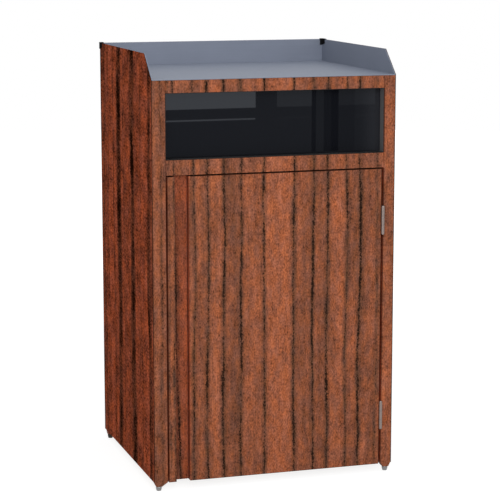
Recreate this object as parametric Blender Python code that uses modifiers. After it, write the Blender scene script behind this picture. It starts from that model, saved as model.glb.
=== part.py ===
"""Waste station: a laminate-clad cabinet with a tray deck, a push flap, a hinged door and a bin inside.

Metres, +Z up. The front faces -Y, and the origin is on the floor under the middle of the outline.
Left and right are as seen from the front.
"""

import math

import bmesh
import bpy
from mathutils import Matrix, Vector

# Hairline left between pieces that touch
FIT = 0.0003

# Cabinet
WIDTH = 0.673
BODY_DEPTH = 0.582
HEIGHT = 1.156
FOOT_HEIGHT = 0.024
LAMINATE = 0.0015
CORE = 0.019

# Gallery round the deck, with front ends that slope back from the face frame
GALLERY_HEIGHT = 0.064
GALLERY_SETBACK = 0.073
DECK_SHEET = 0.0015

# Caps on the rear top corners of the gallery
CAP_WALL = 0.0015
CAP_LEG = 0.010
CAP_DROP = 0.012

# Face frame
FRAME_DEPTH = 0.0285
LATCH_STILE_WIDTH = 0.036
HINGE_STILE_WIDTH = 0.030
TOP_RAIL_HEIGHT = 0.0332
WINDOW_HEIGHT = 0.173
MIDDLE_RAIL_HEIGHT = 0.040

# Door, with a finger groove between its pull strip and its panel
DOOR_GAP = 0.003
DOOR_DROP = 0.002
DOOR_BOARD = 0.0235
DOOR_SHEET = 0.0015
PULL_STRIP_WIDTH = 0.021
PULL_UNDERCUT = 0.006
GROOVE_WIDTH = 0.037
GROOVE_LINER = 0.001

# Barrel hinges
HINGE_INSET = 0.1395
HINGE_LENGTH = 0.074
HINGE_CROWN = 0.003
BARREL_RADIUS = 0.0046
PIN_RADIUS = 0.0022
LEAF = 0.0018
LEAF_DEPTH = 0.022
LEAF_SPACE = 0.0008
BARREL_SPACE = 0.0004
HINGE_SCREW_PITCH = 0.046
HINGE_SCREW_LENGTH = 0.016

# Push flap, hung from a rod behind the top rail
FLAP_SHEET = 0.005
FLAP_END_SPACE = 0.002
FLAP_LOWER_LAP = 0.010
FLAP_AXIS_DROP = 0.012
FLAP_CLEARANCE = 0.002
FLAP_BIAS = 0.0005
ROD_RADIUS = 0.003
HANGER_RADIUS = 0.006
HANGER_DROP = 0.020
HANGER_GRIP = 0.012
BRACKET_SHEET = 0.004
BRACKET_DEPTH = 0.036
BRACKET_HEIGHT = 0.044
BRACKET_SCREW_BACK = 0.026
BRACKET_SCREW_PITCH = 0.024
BRACKET_SCREW_LENGTH = 0.016
BUSH_RADIUS = 0.0052
BUSH_FLANGE_RADIUS = 0.0072
BUSH_FLANGE = 0.001
BUMPER_RADIUS = 0.004
BUMPER_INSET = 0.050

# Magnetic catch behind the middle rail, and its strike on the door
CATCH_WIDTH = 0.046
CATCH_RISE = 0.016
CATCH_DROP = 0.016
CATCH_DEPTH = 0.014
CATCH_INSET = 0.090
CATCH_SPACE = 0.0005
CATCH_SCREW_PITCH = 0.030
CATCH_SCREW_LENGTH = 0.026
STRIKE_MARGIN = 0.004

# Wood screws
SCREW_RADIUS = 0.0015
SCREW_HEAD_RADIUS = 0.0028

# Levelling feet, the tapered ends of the corners above them, and the threaded inserts that take them
FOOT_TOP_RADIUS = 0.0073
FOOT_TIP_RADIUS = 0.004
FOOT_TIP_ROUND = 0.0018
FOOT_SIDE_INSET = 0.0145
FOOT_FRONT_INSET = 0.0105
FOOT_BACK_INSET = 0.020
TAPER_HEIGHT = 0.012
TAPER_TIP = 0.016
STUD_RADIUS = 0.004
STUD_LENGTH = 0.030
INSERT_RADIUS = 0.0055
INSERT_LENGTH = 0.030

# Waste bin
BIN_HEADROOM = 0.050
BIN_SIDE_CLEARANCE = 0.050
BIN_FRONT_CLEARANCE = 0.040
BIN_BACK_CLEARANCE = 0.030
BIN_TAPER = 0.032
BIN_CORNER = 0.060
BIN_WALL = 0.004
BIN_RIM = 0.012
BIN_RIM_DROP = 0.022

# Facets
ROUND_STEPS = 24
SCREW_STEPS = 12
CORNER_STEPS = 5
MERGE = 0.00001
SHARP_ANGLE = math.radians(40)

# The hinge barrels stand in front of the face frame, just clear of the door's and the stile's corners
HINGE_GAP = 2 * (FIT + LEAF) + LEAF_SPACE
HINGE_PROUD = math.sqrt((BARREL_RADIUS + BARREL_SPACE) ** 2 - (HINGE_GAP / 2) ** 2)

# Depths, with the outline centred on the origin
CAP_PROUD = FIT + CAP_WALL
FRONT_Y = (HINGE_PROUD + BARREL_RADIUS - CAP_PROUD - BODY_DEPTH) / 2
BACK_Y = FRONT_Y + BODY_DEPTH
FRAME_BACK_Y = FRONT_Y + FRAME_DEPTH
CORE_FRONT_Y = FRAME_BACK_Y + FIT
SKIN_BACK_Y = BACK_Y - LAMINATE - FIT
INNER_BACK_Y = SKIN_BACK_Y - CORE
DOOR_BOARD_BACK_Y = FRONT_Y + DOOR_BOARD
DOOR_SHEET_Y = DOOR_BOARD_BACK_Y + FIT
DOOR_BACK_Y = DOOR_SHEET_Y + DOOR_SHEET

# Places across the cabinet
OUTER_X = WIDTH / 2
SKIN_X = OUTER_X - LAMINATE - FIT
CORE_X = SKIN_X - CORE
BRACKET_X = CORE_X - FIT - BRACKET_SHEET
FLAP_X = BRACKET_X - FIT - BUSH_FLANGE - FLAP_END_SPACE
OPENING_LEFT = LATCH_STILE_WIDTH - SKIN_X
OPENING_RIGHT = SKIN_X - HINGE_STILE_WIDTH
DOOR_LEFT = OPENING_LEFT + DOOR_GAP
DOOR_RIGHT = OPENING_RIGHT - HINGE_GAP
STRIP_RIGHT = DOOR_LEFT + PULL_STRIP_WIDTH
PANEL_LEFT = STRIP_RIGHT + GROOVE_WIDTH
WALL_STACK = LAMINATE + FIT + DECK_SHEET

# Heights
DECK_Z = HEIGHT - GALLERY_HEIGHT
DECK_UNDER_Z = DECK_Z - DECK_SHEET
FRAME_TOP_Z = DECK_UNDER_Z - FIT
WINDOW_TOP_Z = FRAME_TOP_Z - TOP_RAIL_HEIGHT
WINDOW_BOTTOM_Z = WINDOW_TOP_Z - WINDOW_HEIGHT
RAIL_BOTTOM_Z = WINDOW_BOTTOM_Z - MIDDLE_RAIL_HEIGHT
DOOR_TOP_Z = RAIL_BOTTOM_Z - DOOR_GAP
DOOR_BOTTOM_Z = FOOT_HEIGHT - DOOR_DROP
FLOOR_Z = FOOT_HEIGHT + CORE
TAPER_Z = FOOT_HEIGHT - TAPER_HEIGHT

# Axes that the moving pieces turn or slide on
HINGE_X = OPENING_RIGHT - HINGE_GAP / 2
HINGE_Y = FRONT_Y - HINGE_PROUD
FLAP_Y = FRAME_BACK_Y + FLAP_CLEARANCE + HANGER_RADIUS
FLAP_Z = DECK_UNDER_Z - FLAP_AXIS_DROP
FOOT_FRONT_X = OUTER_X - FOOT_SIDE_INSET
FOOT_BACK_X = SKIN_X - CORE / 2
FOOT_FRONT_Y = FRONT_Y + FOOT_FRONT_INSET
FOOT_BACK_Y = BACK_Y - FOOT_BACK_INSET

SIDES = (("left", -1), ("right", 1))
LEFTWARD = Vector((-1, 0, 0))
RIGHTWARD = Vector((1, 0, 0))
BACKWARD = Vector((0, 1, 0))
UPWARD = Vector((0, 0, 1))

# Turns an outline drawn in Y and Z so that its thickness lies along X
ACROSS = Matrix(((0, 0, 1), (1, 0, 0), (0, 1, 0))).to_euler()

for old in list(bpy.data.objects):
    bpy.data.objects.remove(old, do_unlink=True)

PARTS = bpy.data.collections.new("waste_station")
CUTTERS = bpy.data.collections.new("cutters")
for group in (PARTS, CUTTERS):
    bpy.context.scene.collection.children.link(group)
CUTTERS.hide_render = True


def finish(name, colour, roughness, metallic=0.0):
    """A Principled material."""
    material = bpy.data.materials.new(name)
    material.use_nodes = True
    shader = material.node_tree.nodes["Principled BSDF"]
    shader.inputs["Base Color"].default_value = (*colour, 1.0)
    shader.inputs["Roughness"].default_value = roughness
    shader.inputs["Metallic"].default_value = metallic
    return material


LAMINATE_FINISH = finish("wood_grain_laminate", (0.242, 0.080, 0.042), 0.45)
BOARD_FINISH = finish("core_board", (0.42, 0.30, 0.19), 0.7)
STEEL_FINISH = finish("satin_steel", (0.42, 0.43, 0.45), 0.35, 1.0)
HARDWARE_FINISH = finish("zinc_hardware", (0.45, 0.43, 0.41), 0.4, 1.0)
ALUMINIUM_FINISH = finish("aluminium", (0.55, 0.55, 0.56), 0.4, 1.0)
ACRYLIC_FINISH = finish("smoked_acrylic", (0.012, 0.013, 0.017), 0.08)
BLACK_FINISH = finish("black_plastic", (0.02, 0.02, 0.02), 0.5)
NYLON_FINISH = finish("nylon", (0.7, 0.69, 0.65), 0.5)
RUBBER_FINISH = finish("rubber", (0.03, 0.03, 0.03), 0.8)
BIN_FINISH = finish("bin_plastic", (0.16, 0.17, 0.18), 0.55)


def place(name, data, material, location=(0, 0, 0), rotation=(0, 0, 0)):
    """An object of the waste station with one material."""
    piece = bpy.data.objects.new(name, data)
    piece.location = location
    piece.rotation_euler = rotation
    data.materials.append(material)
    PARTS.objects.link(piece)
    return piece


def mesh_from(name, shape):
    """A mesh made from a bmesh, which is freed."""
    mesh = bpy.data.meshes.new(name)
    shape.to_mesh(mesh)
    shape.free()
    return mesh


def box_shape(size):
    """A bmesh box about the origin."""
    shape = bmesh.new()
    bmesh.ops.create_cube(shape, size=1.0)
    bmesh.ops.scale(shape, vec=size, verts=shape.verts)
    return shape


def board(name, low, high, material):
    """A box between two corners."""
    low = Vector(low)
    high = Vector(high)
    mesh = mesh_from(name, box_shape(high - low))
    return place(name, mesh, material, (low + high) / 2)


def across(sign, inner, outer):
    """The x range between two distances from the middle plane, on the side that sign names."""
    return sorted((sign * inner, sign * outer))


def side_board(name, sign, x_range, y_range, z_range, material):
    """A box on the left or right, from its distances from the middle plane and its ranges in y and z."""
    x_low, x_high = across(sign, *x_range)
    return board(name, (x_low, y_range[0], z_range[0]), (x_high, y_range[1], z_range[1]), material)


def rod(name, centre, radius, length, direction, material):
    """A round bar about its centre."""
    shape = bmesh.new()
    bmesh.ops.create_cone(
        shape, cap_ends=True, segments=ROUND_STEPS, radius1=radius, radius2=radius, depth=length
    )
    mesh = mesh_from(name, shape)
    mesh.shade_smooth()
    mesh.set_sharp_from_angle(angle=SHARP_ANGLE)
    turn = UPWARD.rotation_difference(direction).to_euler()
    return place(name, mesh, material, centre, turn)


def turned(name, profile, material, location, direction=UPWARD, steps=ROUND_STEPS, ring=False):
    """A profile of radius and height, listed down its outer side, spun about an axis along direction."""
    shape = bmesh.new()
    points = [shape.verts.new((radius, 0, height)) for radius, height in profile]
    for first, second in zip(points, points[1:]):
        shape.edges.new((first, second))
    if ring:
        shape.edges.new((points[-1], points[0]))
    turn = UPWARD.rotation_difference(direction).to_euler()
    piece = place(name, mesh_from(name, shape), material, location, turn)
    spin = piece.modifiers.new("spin", "SCREW")
    spin.steps = steps
    spin.render_steps = steps
    spin.use_merge_vertices = True
    spin.merge_threshold = MERGE
    spin.use_smooth_shade = True
    return piece


def outline(name, loops, thickness, material, location=(0, 0, 0), rotation=(0, 0, 0)):
    """A flat outline, with any holes as further loops, given a thickness to both sides of its plane."""
    curve = bpy.data.curves.new(name, "CURVE")
    curve.dimensions = "2D"
    curve.fill_mode = "BOTH"
    curve.extrude = thickness / 2
    for loop in loops:
        spline = curve.splines.new("POLY")
        spline.points.add(len(loop) - 1)
        spline.use_cyclic_u = True
        for point, place_on_plane in zip(spline.points, loop):
            point.co = (*place_on_plane, 0, 1)
    return place(name, curve, material, location, rotation)


def arc(centre, radius, start, end, steps):
    """Points along an arc, from one angle to another."""
    angles = [start + (end - start) * step / steps for step in range(steps + 1)]
    return [(centre[0] + radius * math.cos(a), centre[1] + radius * math.sin(a)) for a in angles]


def as_tool(piece):
    """Turns a piece into a helper that shapes others and isn't part of the object."""
    PARTS.objects.unlink(piece)
    CUTTERS.objects.link(piece)
    piece.hide_render = True
    piece.display_type = "WIRE"
    return piece


def shape_with(piece, tool, operation):
    """Cuts a tool from a piece, or joins it on."""
    change = piece.modifiers.new(tool.name, "BOOLEAN")
    change.operation = operation
    change.object = tool


def cut(piece, tool):
    shape_with(piece, tool, "DIFFERENCE")


def join(piece, tool):
    shape_with(piece, tool, "UNION")


def axis_at(name, location, pieces):
    """An empty on a joint's axis that carries the pieces that move on it."""
    axis = bpy.data.objects.new(name, None)
    axis.location = location
    PARTS.objects.link(axis)
    for piece in pieces:
        piece.parent = axis
        piece.matrix_parent_inverse = Matrix.Translation(-axis.location)


def wood_screw(name, head, direction, length, held):
    """A countersunk screw with its head facing along direction, and its hole in each piece that it holds."""
    slope = SCREW_HEAD_RADIUS - SCREW_RADIUS
    profile = (
        (0, 0),
        (SCREW_HEAD_RADIUS, 0),
        (SCREW_RADIUS, -slope),
        (SCREW_RADIUS, SCREW_RADIUS - length),
        (0, -length),
    )
    screw = turned(name, profile, HARDWARE_FINISH, head, direction, SCREW_STEPS)
    hole_profile = (
        (0, slope),
        (SCREW_HEAD_RADIUS + FIT, slope),
        (SCREW_HEAD_RADIUS + FIT, 0),
        (SCREW_RADIUS + FIT, -slope),
        (SCREW_RADIUS + FIT, -length - FIT),
        (0, -length - FIT),
    )
    hole = as_tool(turned(name + "_hole", hole_profile, HARDWARE_FINISH, head, direction, SCREW_STEPS))
    for piece in held:
        cut(piece, hole)
    return screw


def carcass():
    """The boards, and the laminate sheets that clad them. Returns the side boards by name."""
    board(
        "bottom_panel",
        (FIT - CORE_X, CORE_FRONT_Y, FOOT_HEIGHT),
        (CORE_X - FIT, INNER_BACK_Y - FIT, FLOOR_Z),
        BOARD_FINISH,
    )
    board(
        "back_core",
        (FIT - CORE_X, INNER_BACK_Y, FOOT_HEIGHT),
        (CORE_X - FIT, SKIN_BACK_Y, FRAME_TOP_Z),
        BOARD_FINISH,
    )
    board(
        "back_laminate",
        (-SKIN_X, BACK_Y - LAMINATE, FOOT_HEIGHT),
        (SKIN_X, BACK_Y, HEIGHT),
        LAMINATE_FINISH,
    )
    gallery_end = (
        (FRONT_Y, FOOT_HEIGHT),
        (BACK_Y, FOOT_HEIGHT),
        (BACK_Y, HEIGHT),
        (FRONT_Y + GALLERY_SETBACK, HEIGHT),
        (FRONT_Y, DECK_Z),
    )
    cores = {}
    for side, sign in SIDES:
        cores[side] = side_board(
            "side_core_" + side,
            sign,
            (CORE_X, SKIN_X),
            (CORE_FRONT_Y, SKIN_BACK_Y),
            (FOOT_HEIGHT, FRAME_TOP_Z),
            BOARD_FINISH,
        )
        middle = (sign * (OUTER_X - LAMINATE / 2), 0, 0)
        outline("side_laminate_" + side, [gallery_end], LAMINATE, LAMINATE_FINISH, middle, ACROSS)
    return cores


def stile(side, x_low, x_high, foot_x):
    """A post of the face frame, whose lower end runs on below the cabinet and tapers to the foot."""
    low = Vector((x_low, FRONT_Y, FOOT_HEIGHT))
    high = Vector((x_high, FRAME_BACK_Y, FRAME_TOP_Z))
    middle = (low + high) / 2
    shape = box_shape(high - low)
    end = [face for face in shape.faces if face.normal.z < -0.5]
    tip = bmesh.ops.extrude_discrete_faces(shape, faces=end)["faces"][0]
    seat = Vector((foot_x, FOOT_FRONT_Y, TAPER_Z)) - middle
    for vert in tip.verts:
        vert.co.x = seat.x + math.copysign(TAPER_TIP / 2, vert.co.x)
        vert.co.y = seat.y + math.copysign(TAPER_TIP / 2, vert.co.y)
        vert.co.z = seat.z
    name = "front_stile_" + side
    return place(name, mesh_from(name, shape), LAMINATE_FINISH, middle)


def face_frame():
    """The two stiles and the rails between them. Returns the stiles by name and the middle rail."""
    stiles = {
        "left": stile("left", -SKIN_X, OPENING_LEFT, -FOOT_FRONT_X),
        "right": stile("right", OPENING_RIGHT, SKIN_X, FOOT_FRONT_X),
    }
    board(
        "top_rail",
        (OPENING_LEFT + FIT, FRONT_Y, WINDOW_TOP_Z),
        (OPENING_RIGHT - FIT, FRAME_BACK_Y, FRAME_TOP_Z),
        LAMINATE_FINISH,
    )
    middle_rail = board(
        "middle_rail",
        (OPENING_LEFT + FIT, FRONT_Y, RAIL_BOTTOM_Z),
        (OPENING_RIGHT - FIT, FRAME_BACK_Y, WINDOW_BOTTOM_Z),
        LAMINATE_FINISH,
    )
    return stiles, middle_rail


def deck_pan():
    """The folded sheet of the deck, with upstands at its sides and back that line the gallery."""
    low = Vector((-SKIN_X, FRONT_Y, DECK_UNDER_Z))
    high = Vector((SKIN_X, SKIN_BACK_Y, HEIGHT))
    middle = (low + high) / 2
    shape = box_shape(high - low)
    bmesh.ops.bisect_plane(
        shape,
        geom=shape.verts[:] + shape.edges[:] + shape.faces[:],
        plane_co=Vector((0, FRONT_Y, DECK_Z)) - middle,
        plane_no=(0, -GALLERY_HEIGHT, GALLERY_SETBACK),
        clear_outer=True,
    )
    bmesh.ops.holes_fill(shape, edges=shape.edges)
    pan = place("deck_pan", mesh_from("deck_pan", shape), STEEL_FINISH, middle)
    well = board(
        "deck_well",
        (DECK_SHEET - SKIN_X, FRONT_Y - DECK_SHEET, DECK_Z),
        (SKIN_X - DECK_SHEET, SKIN_BACK_Y - DECK_SHEET, HEIGHT + DECK_SHEET),
        STEEL_FINISH,
    )
    cut(pan, as_tool(well))


def corner_caps():
    """Caps that clip over the rear top corners, where the side and back walls of the gallery meet."""
    z_range = (HEIGHT - CAP_DROP, HEIGHT + CAP_PROUD)
    slot_z = (HEIGHT - 2 * CAP_DROP, HEIGHT + FIT)
    outer = OUTER_X + CAP_PROUD
    inner = OUTER_X - WALL_STACK - CAP_PROUD
    rear = BACK_Y + CAP_PROUD
    fore = BACK_Y - WALL_STACK - CAP_PROUD
    for side, sign in SIDES:
        name = "corner_cap_" + side
        cap = side_board(name, sign, (inner, outer), (BACK_Y - CAP_LEG, rear), z_range, BLACK_FINISH)
        leg = side_board(
            name + "_leg", sign, (OUTER_X - CAP_LEG, outer), (fore, rear), z_range, BLACK_FINISH
        )
        join(cap, as_tool(leg))
        side_slot = side_board(
            name + "_side_slot",
            sign,
            (OUTER_X - WALL_STACK - FIT, OUTER_X + FIT),
            (BACK_Y - 2 * CAP_LEG, BACK_Y + FIT),
            slot_z,
            BLACK_FINISH,
        )
        back_slot = side_board(
            name + "_back_slot",
            sign,
            (OUTER_X - 2 * CAP_LEG, OUTER_X + FIT),
            (BACK_Y - WALL_STACK - FIT, BACK_Y + FIT),
            slot_z,
            BLACK_FINISH,
        )
        cut(cap, as_tool(side_slot))
        cut(cap, as_tool(back_slot))


def door():
    """The door's boards on their back sheet. Returns the pieces, and the panel that the hinges hold."""
    z_range = (DOOR_BOTTOM_Z, DOOR_TOP_Z)
    panel = board(
        "door_panel",
        (PANEL_LEFT, FRONT_Y, DOOR_BOTTOM_Z),
        (DOOR_RIGHT, DOOR_BOARD_BACK_Y, DOOR_TOP_Z),
        LAMINATE_FINISH,
    )
    strip_section = (
        (DOOR_LEFT, FRONT_Y),
        (STRIP_RIGHT, FRONT_Y),
        (STRIP_RIGHT - PULL_UNDERCUT, DOOR_BOARD_BACK_Y),
        (DOOR_LEFT, DOOR_BOARD_BACK_Y),
    )
    middle = (0, 0, sum(z_range) / 2)
    strip = outline("door_pull_strip", [strip_section], z_range[1] - z_range[0], LAMINATE_FINISH, middle)
    sheet = board(
        "door_back_sheet",
        (DOOR_LEFT, DOOR_SHEET_Y, DOOR_BOTTOM_Z),
        (DOOR_RIGHT, DOOR_BACK_Y, DOOR_TOP_Z),
        STEEL_FINISH,
    )
    undercut_at_liner = PULL_UNDERCUT * (1 - GROOVE_LINER / DOOR_BOARD)
    liner = board(
        "door_groove_liner",
        (STRIP_RIGHT - undercut_at_liner + FIT, DOOR_BOARD_BACK_Y - GROOVE_LINER, DOOR_BOTTOM_Z),
        (PANEL_LEFT - FIT, DOOR_BOARD_BACK_Y, DOOR_TOP_Z),
        LAMINATE_FINISH,
    )
    return [panel, strip, sheet, liner], panel


def hinge_leaf(name, sign, middle, knuckles):
    """A leaf in the gap beside the door, towards sign, with the knuckles that its heights list."""
    far = HINGE_GAP / 2 - FIT
    x_range = sorted((HINGE_X + sign * (far - LEAF), HINGE_X + sign * far))
    plate_front = HINGE_Y + BARREL_RADIUS + BARREL_SPACE
    leaf = board(
        name,
        (x_range[0], plate_front, middle - HINGE_LENGTH / 2),
        (x_range[1], FRONT_Y + LEAF_DEPTH, middle + HINGE_LENGTH / 2),
        HARDWARE_FINISH,
    )
    tab_front = HINGE_Y + (BARREL_RADIUS + PIN_RADIUS + FIT) / 2
    for number, (low, high) in enumerate(knuckles):
        centre = (HINGE_X, HINGE_Y, (low + high) / 2)
        tab = board(
            f"{name}_tab_{number}",
            (x_range[0], tab_front, low),
            (x_range[1], plate_front + LEAF, high),
            HARDWARE_FINISH,
        )
        barrel = rod(f"{name}_barrel_{number}", centre, BARREL_RADIUS, high - low, UPWARD, HARDWARE_FINISH)
        join(leaf, as_tool(tab))
        join(leaf, as_tool(barrel))
    bore_length = HINGE_LENGTH + 2 * BARREL_RADIUS
    bore = rod(
        name + "_bore", (HINGE_X, HINGE_Y, middle), PIN_RADIUS + FIT, bore_length, UPWARD, HARDWARE_FINISH
    )
    cut(leaf, as_tool(bore))
    return leaf


def hinge_pin(name, middle):
    """A pin through the three knuckles, with a crown at each end."""
    seat = HINGE_LENGTH / 2 + FIT
    crown = arc((0, 0), 1.0, math.pi / 2, 0, CORNER_STEPS)
    top = [(BARREL_RADIUS * across, seat + HINGE_CROWN * up) for across, up in crown]
    bottom = [(radius, -height) for radius, height in reversed(top)]
    profile = top + [(PIN_RADIUS, seat), (PIN_RADIUS, -seat)] + bottom
    turned(name, profile, HARDWARE_FINISH, (HINGE_X, HINGE_Y, middle))


def hinges(stile, panel):
    """Both barrel hinges with their screws. Returns the pieces that ride on the door."""
    moving = []
    places = (("upper", DOOR_TOP_Z - HINGE_INSET), ("lower", DOOR_BOTTOM_Z + HINGE_INSET))
    for level, middle in places:
        name = "hinge_" + level
        third = HINGE_LENGTH / 3
        end = HINGE_LENGTH / 2
        outer_knuckles = ((middle - end, middle - third / 2 - FIT), (middle + third / 2 + FIT, middle + end))
        frame_leaf = hinge_leaf(name + "_frame_leaf", 1, middle, outer_knuckles)
        door_leaf = hinge_leaf(name + "_door_leaf", -1, middle, ((middle - third / 2, middle + third / 2),))
        hinge_pin(name + "_pin", middle)
        moving.append(door_leaf)
        head_y = FRONT_Y + (LEAF_DEPTH + BARREL_SPACE) / 2
        for row, offset in (("top", 0.5), ("bottom", -0.5)):
            head_z = middle + offset * HINGE_SCREW_PITCH
            wood_screw(
                f"{name}_frame_screw_{row}",
                (HINGE_X + LEAF_SPACE / 2, head_y, head_z),
                LEFTWARD,
                HINGE_SCREW_LENGTH,
                (frame_leaf, stile),
            )
            moving.append(
                wood_screw(
                    f"{name}_door_screw_{row}",
                    (HINGE_X - LEAF_SPACE / 2, head_y, head_z),
                    RIGHTWARD,
                    HINGE_SCREW_LENGTH,
                    (door_leaf, panel),
                )
            )
    return moving


def flap_mounts(cores):
    """The brackets on the side boards with their screws and bushes, and the bumpers for the flap."""
    bracket_top = FRAME_TOP_Z
    hole_radius = BUSH_RADIUS + FIT
    bush_bore = ROD_RADIUS + FIT
    flange_face = FIT + BUSH_FLANGE
    bush_profile = (
        (BUSH_FLANGE_RADIUS, flange_face),
        (BUSH_FLANGE_RADIUS, FIT),
        (BUSH_RADIUS, FIT),
        (BUSH_RADIUS, -BRACKET_SHEET),
        (bush_bore, -BRACKET_SHEET),
        (bush_bore, flange_face),
    )
    bumper_x = {"left": OPENING_LEFT + BUMPER_INSET, "right": OPENING_RIGHT - BUMPER_INSET}
    bumper_length = FLAP_CLEARANCE + HANGER_RADIUS + FLAP_BIAS - FLAP_SHEET / 2 - 2 * FIT
    for side, sign in SIDES:
        inward = Vector((-sign, 0, 0))
        bracket = side_board(
            "flap_bracket_" + side,
            sign,
            (BRACKET_X, CORE_X - FIT),
            (CORE_FRONT_Y, CORE_FRONT_Y + BRACKET_DEPTH),
            (bracket_top - BRACKET_HEIGHT, bracket_top),
            HARDWARE_FINISH,
        )
        hole_centre = (sign * BRACKET_X, FLAP_Y, FLAP_Z)
        hole = rod(
            f"flap_bracket_{side}_hole", hole_centre, hole_radius, 4 * BRACKET_SHEET, inward, HARDWARE_FINISH
        )
        cut(bracket, as_tool(hole))
        turned("flap_bush_" + side, bush_profile, NYLON_FINISH, hole_centre, inward, ring=True)
        for row, offset in (("top", 0.5), ("bottom", -0.5)):
            head = (
                sign * BRACKET_X,
                CORE_FRONT_Y + BRACKET_SCREW_BACK,
                bracket_top - BRACKET_HEIGHT / 2 + offset * BRACKET_SCREW_PITCH,
            )
            wood_screw(
                f"flap_bracket_screw_{side}_{row}",
                head,
                inward,
                BRACKET_SCREW_LENGTH,
                (bracket, cores[side]),
            )
        bumper_centre = (
            bumper_x[side],
            FRAME_BACK_Y + FIT + bumper_length / 2,
            WINDOW_BOTTOM_Z - FLAP_LOWER_LAP / 2,
        )
        rod("flap_bumper_" + side, bumper_centre, BUMPER_RADIUS, bumper_length, BACKWARD, RUBBER_FINISH)


def flap():
    """The acrylic sheet in its hanger, and the rod that turns with them. Returns the three pieces."""
    slot = FLAP_SHEET / 2 + FIT
    slot_top = HANGER_GRIP - HANGER_DROP
    section = arc((0, 0), HANGER_RADIUS, 0, math.pi, 2 * CORNER_STEPS)
    section += [
        (-HANGER_RADIUS, -HANGER_DROP),
        (FLAP_BIAS - slot, -HANGER_DROP),
        (FLAP_BIAS - slot, slot_top),
        (FLAP_BIAS + slot, slot_top),
        (FLAP_BIAS + slot, -HANGER_DROP),
        (HANGER_RADIUS, -HANGER_DROP),
    ]
    full_turn = 2 * math.pi
    bore = arc((0, 0), ROD_RADIUS + FIT, 0, full_turn * (ROUND_STEPS - 1) / ROUND_STEPS, ROUND_STEPS - 1)
    centre = (0, FLAP_Y, FLAP_Z)
    hanger = outline("flap_hanger", [section, bore], 2 * FLAP_X, ALUMINIUM_FINISH, centre, ACROSS)
    pivot = rod("flap_pivot_rod", centre, ROD_RADIUS, 2 * (CORE_X - 2 * FIT), RIGHTWARD, HARDWARE_FINISH)
    sheet_y = FLAP_Y + FLAP_BIAS
    sheet = board(
        "flap_panel",
        (-FLAP_X, sheet_y - FLAP_SHEET / 2, WINDOW_BOTTOM_Z - FLAP_LOWER_LAP),
        (FLAP_X, sheet_y + FLAP_SHEET / 2, FLAP_Z + slot_top - FIT),
        ACRYLIC_FINISH,
    )
    return [sheet, hanger, pivot]


def catch(middle_rail):
    """The magnetic catch with its screws on the middle rail. Returns the strike on the door."""
    centre_x = DOOR_LEFT + CATCH_INSET
    catch_front = FRAME_BACK_Y + FIT
    catch_back = catch_front + CATCH_DEPTH
    body = board(
        "catch_body",
        (centre_x - CATCH_WIDTH / 2, catch_front, RAIL_BOTTOM_Z - CATCH_DROP),
        (centre_x + CATCH_WIDTH / 2, catch_back, RAIL_BOTTOM_Z + CATCH_RISE),
        BLACK_FINISH,
    )
    for side, sign in SIDES:
        head = (centre_x + sign * CATCH_SCREW_PITCH / 2, catch_back, RAIL_BOTTOM_Z + CATCH_RISE / 2)
        wood_screw("catch_screw_" + side, head, BACKWARD, CATCH_SCREW_LENGTH, (body, middle_rail))
    return board(
        "catch_strike",
        (centre_x - CATCH_WIDTH / 2 + STRIKE_MARGIN, DOOR_BACK_Y + FIT, RAIL_BOTTOM_Z - CATCH_DROP),
        (centre_x + CATCH_WIDTH / 2 - STRIKE_MARGIN, catch_front - CATCH_SPACE, DOOR_TOP_Z),
        HARDWARE_FINISH,
    )


def foot_block(side, sign):
    """A tapered block between a side board and the foot at the back."""
    size = Vector((CORE, FRAME_DEPTH, TAPER_HEIGHT - FIT))
    shape = box_shape(size)
    tip = [vert for vert in shape.verts if vert.co.z < 0]
    bmesh.ops.scale(shape, vec=(TAPER_TIP / size.x, TAPER_TIP / size.y, 1), verts=tip)
    name = "foot_block_back_" + side
    middle = (sign * FOOT_BACK_X, FOOT_BACK_Y, TAPER_Z + size.z / 2)
    return place(name, mesh_from(name, shape), LAMINATE_FINISH, middle)


def feet(cores, stiles):
    """A levelling foot at each corner, screwed into an insert in the tapered end above it."""
    foot_top = TAPER_Z - FIT
    foot_profile = [
        (0, foot_top + STUD_LENGTH),
        (STUD_RADIUS, foot_top + STUD_LENGTH),
        (STUD_RADIUS, foot_top),
        (FOOT_TOP_RADIUS, foot_top),
    ]
    foot_profile += arc(
        (FOOT_TIP_RADIUS, FOOT_TIP_ROUND), FOOT_TIP_ROUND, 0, -math.pi / 2, CORNER_STEPS
    )
    foot_profile.append((0, 0))
    insert_top = TAPER_Z + INSERT_LENGTH
    insert_profile = (
        (INSERT_RADIUS, insert_top),
        (INSERT_RADIUS, TAPER_Z),
        (STUD_RADIUS + FIT, TAPER_Z),
        (STUD_RADIUS + FIT, insert_top),
    )
    hole_top = max(foot_top + STUD_LENGTH, insert_top) + FIT
    for end, x, y in (("front", FOOT_FRONT_X, FOOT_FRONT_Y), ("back", FOOT_BACK_X, FOOT_BACK_Y)):
        for side, sign in SIDES:
            corner = f"{end}_{side}"
            centre = (sign * x, y, 0)
            foot = turned("foot_" + corner, foot_profile, HARDWARE_FINISH, centre)
            turned("foot_insert_" + corner, insert_profile, HARDWARE_FINISH, centre, ring=True)
            hole = rod(
                f"foot_insert_{corner}_hole",
                (centre[0], y, hole_top / 2),
                INSERT_RADIUS + FIT,
                hole_top,
                UPWARD,
                HARDWARE_FINISH,
            )
            as_tool(hole)
            holders = [stiles[side]] if end == "front" else [cores[side], foot_block(side, sign)]
            for holder in holders:
                cut(holder, hole)
            axis_at(f"foot_{corner}_axis", centre, [foot])


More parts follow.
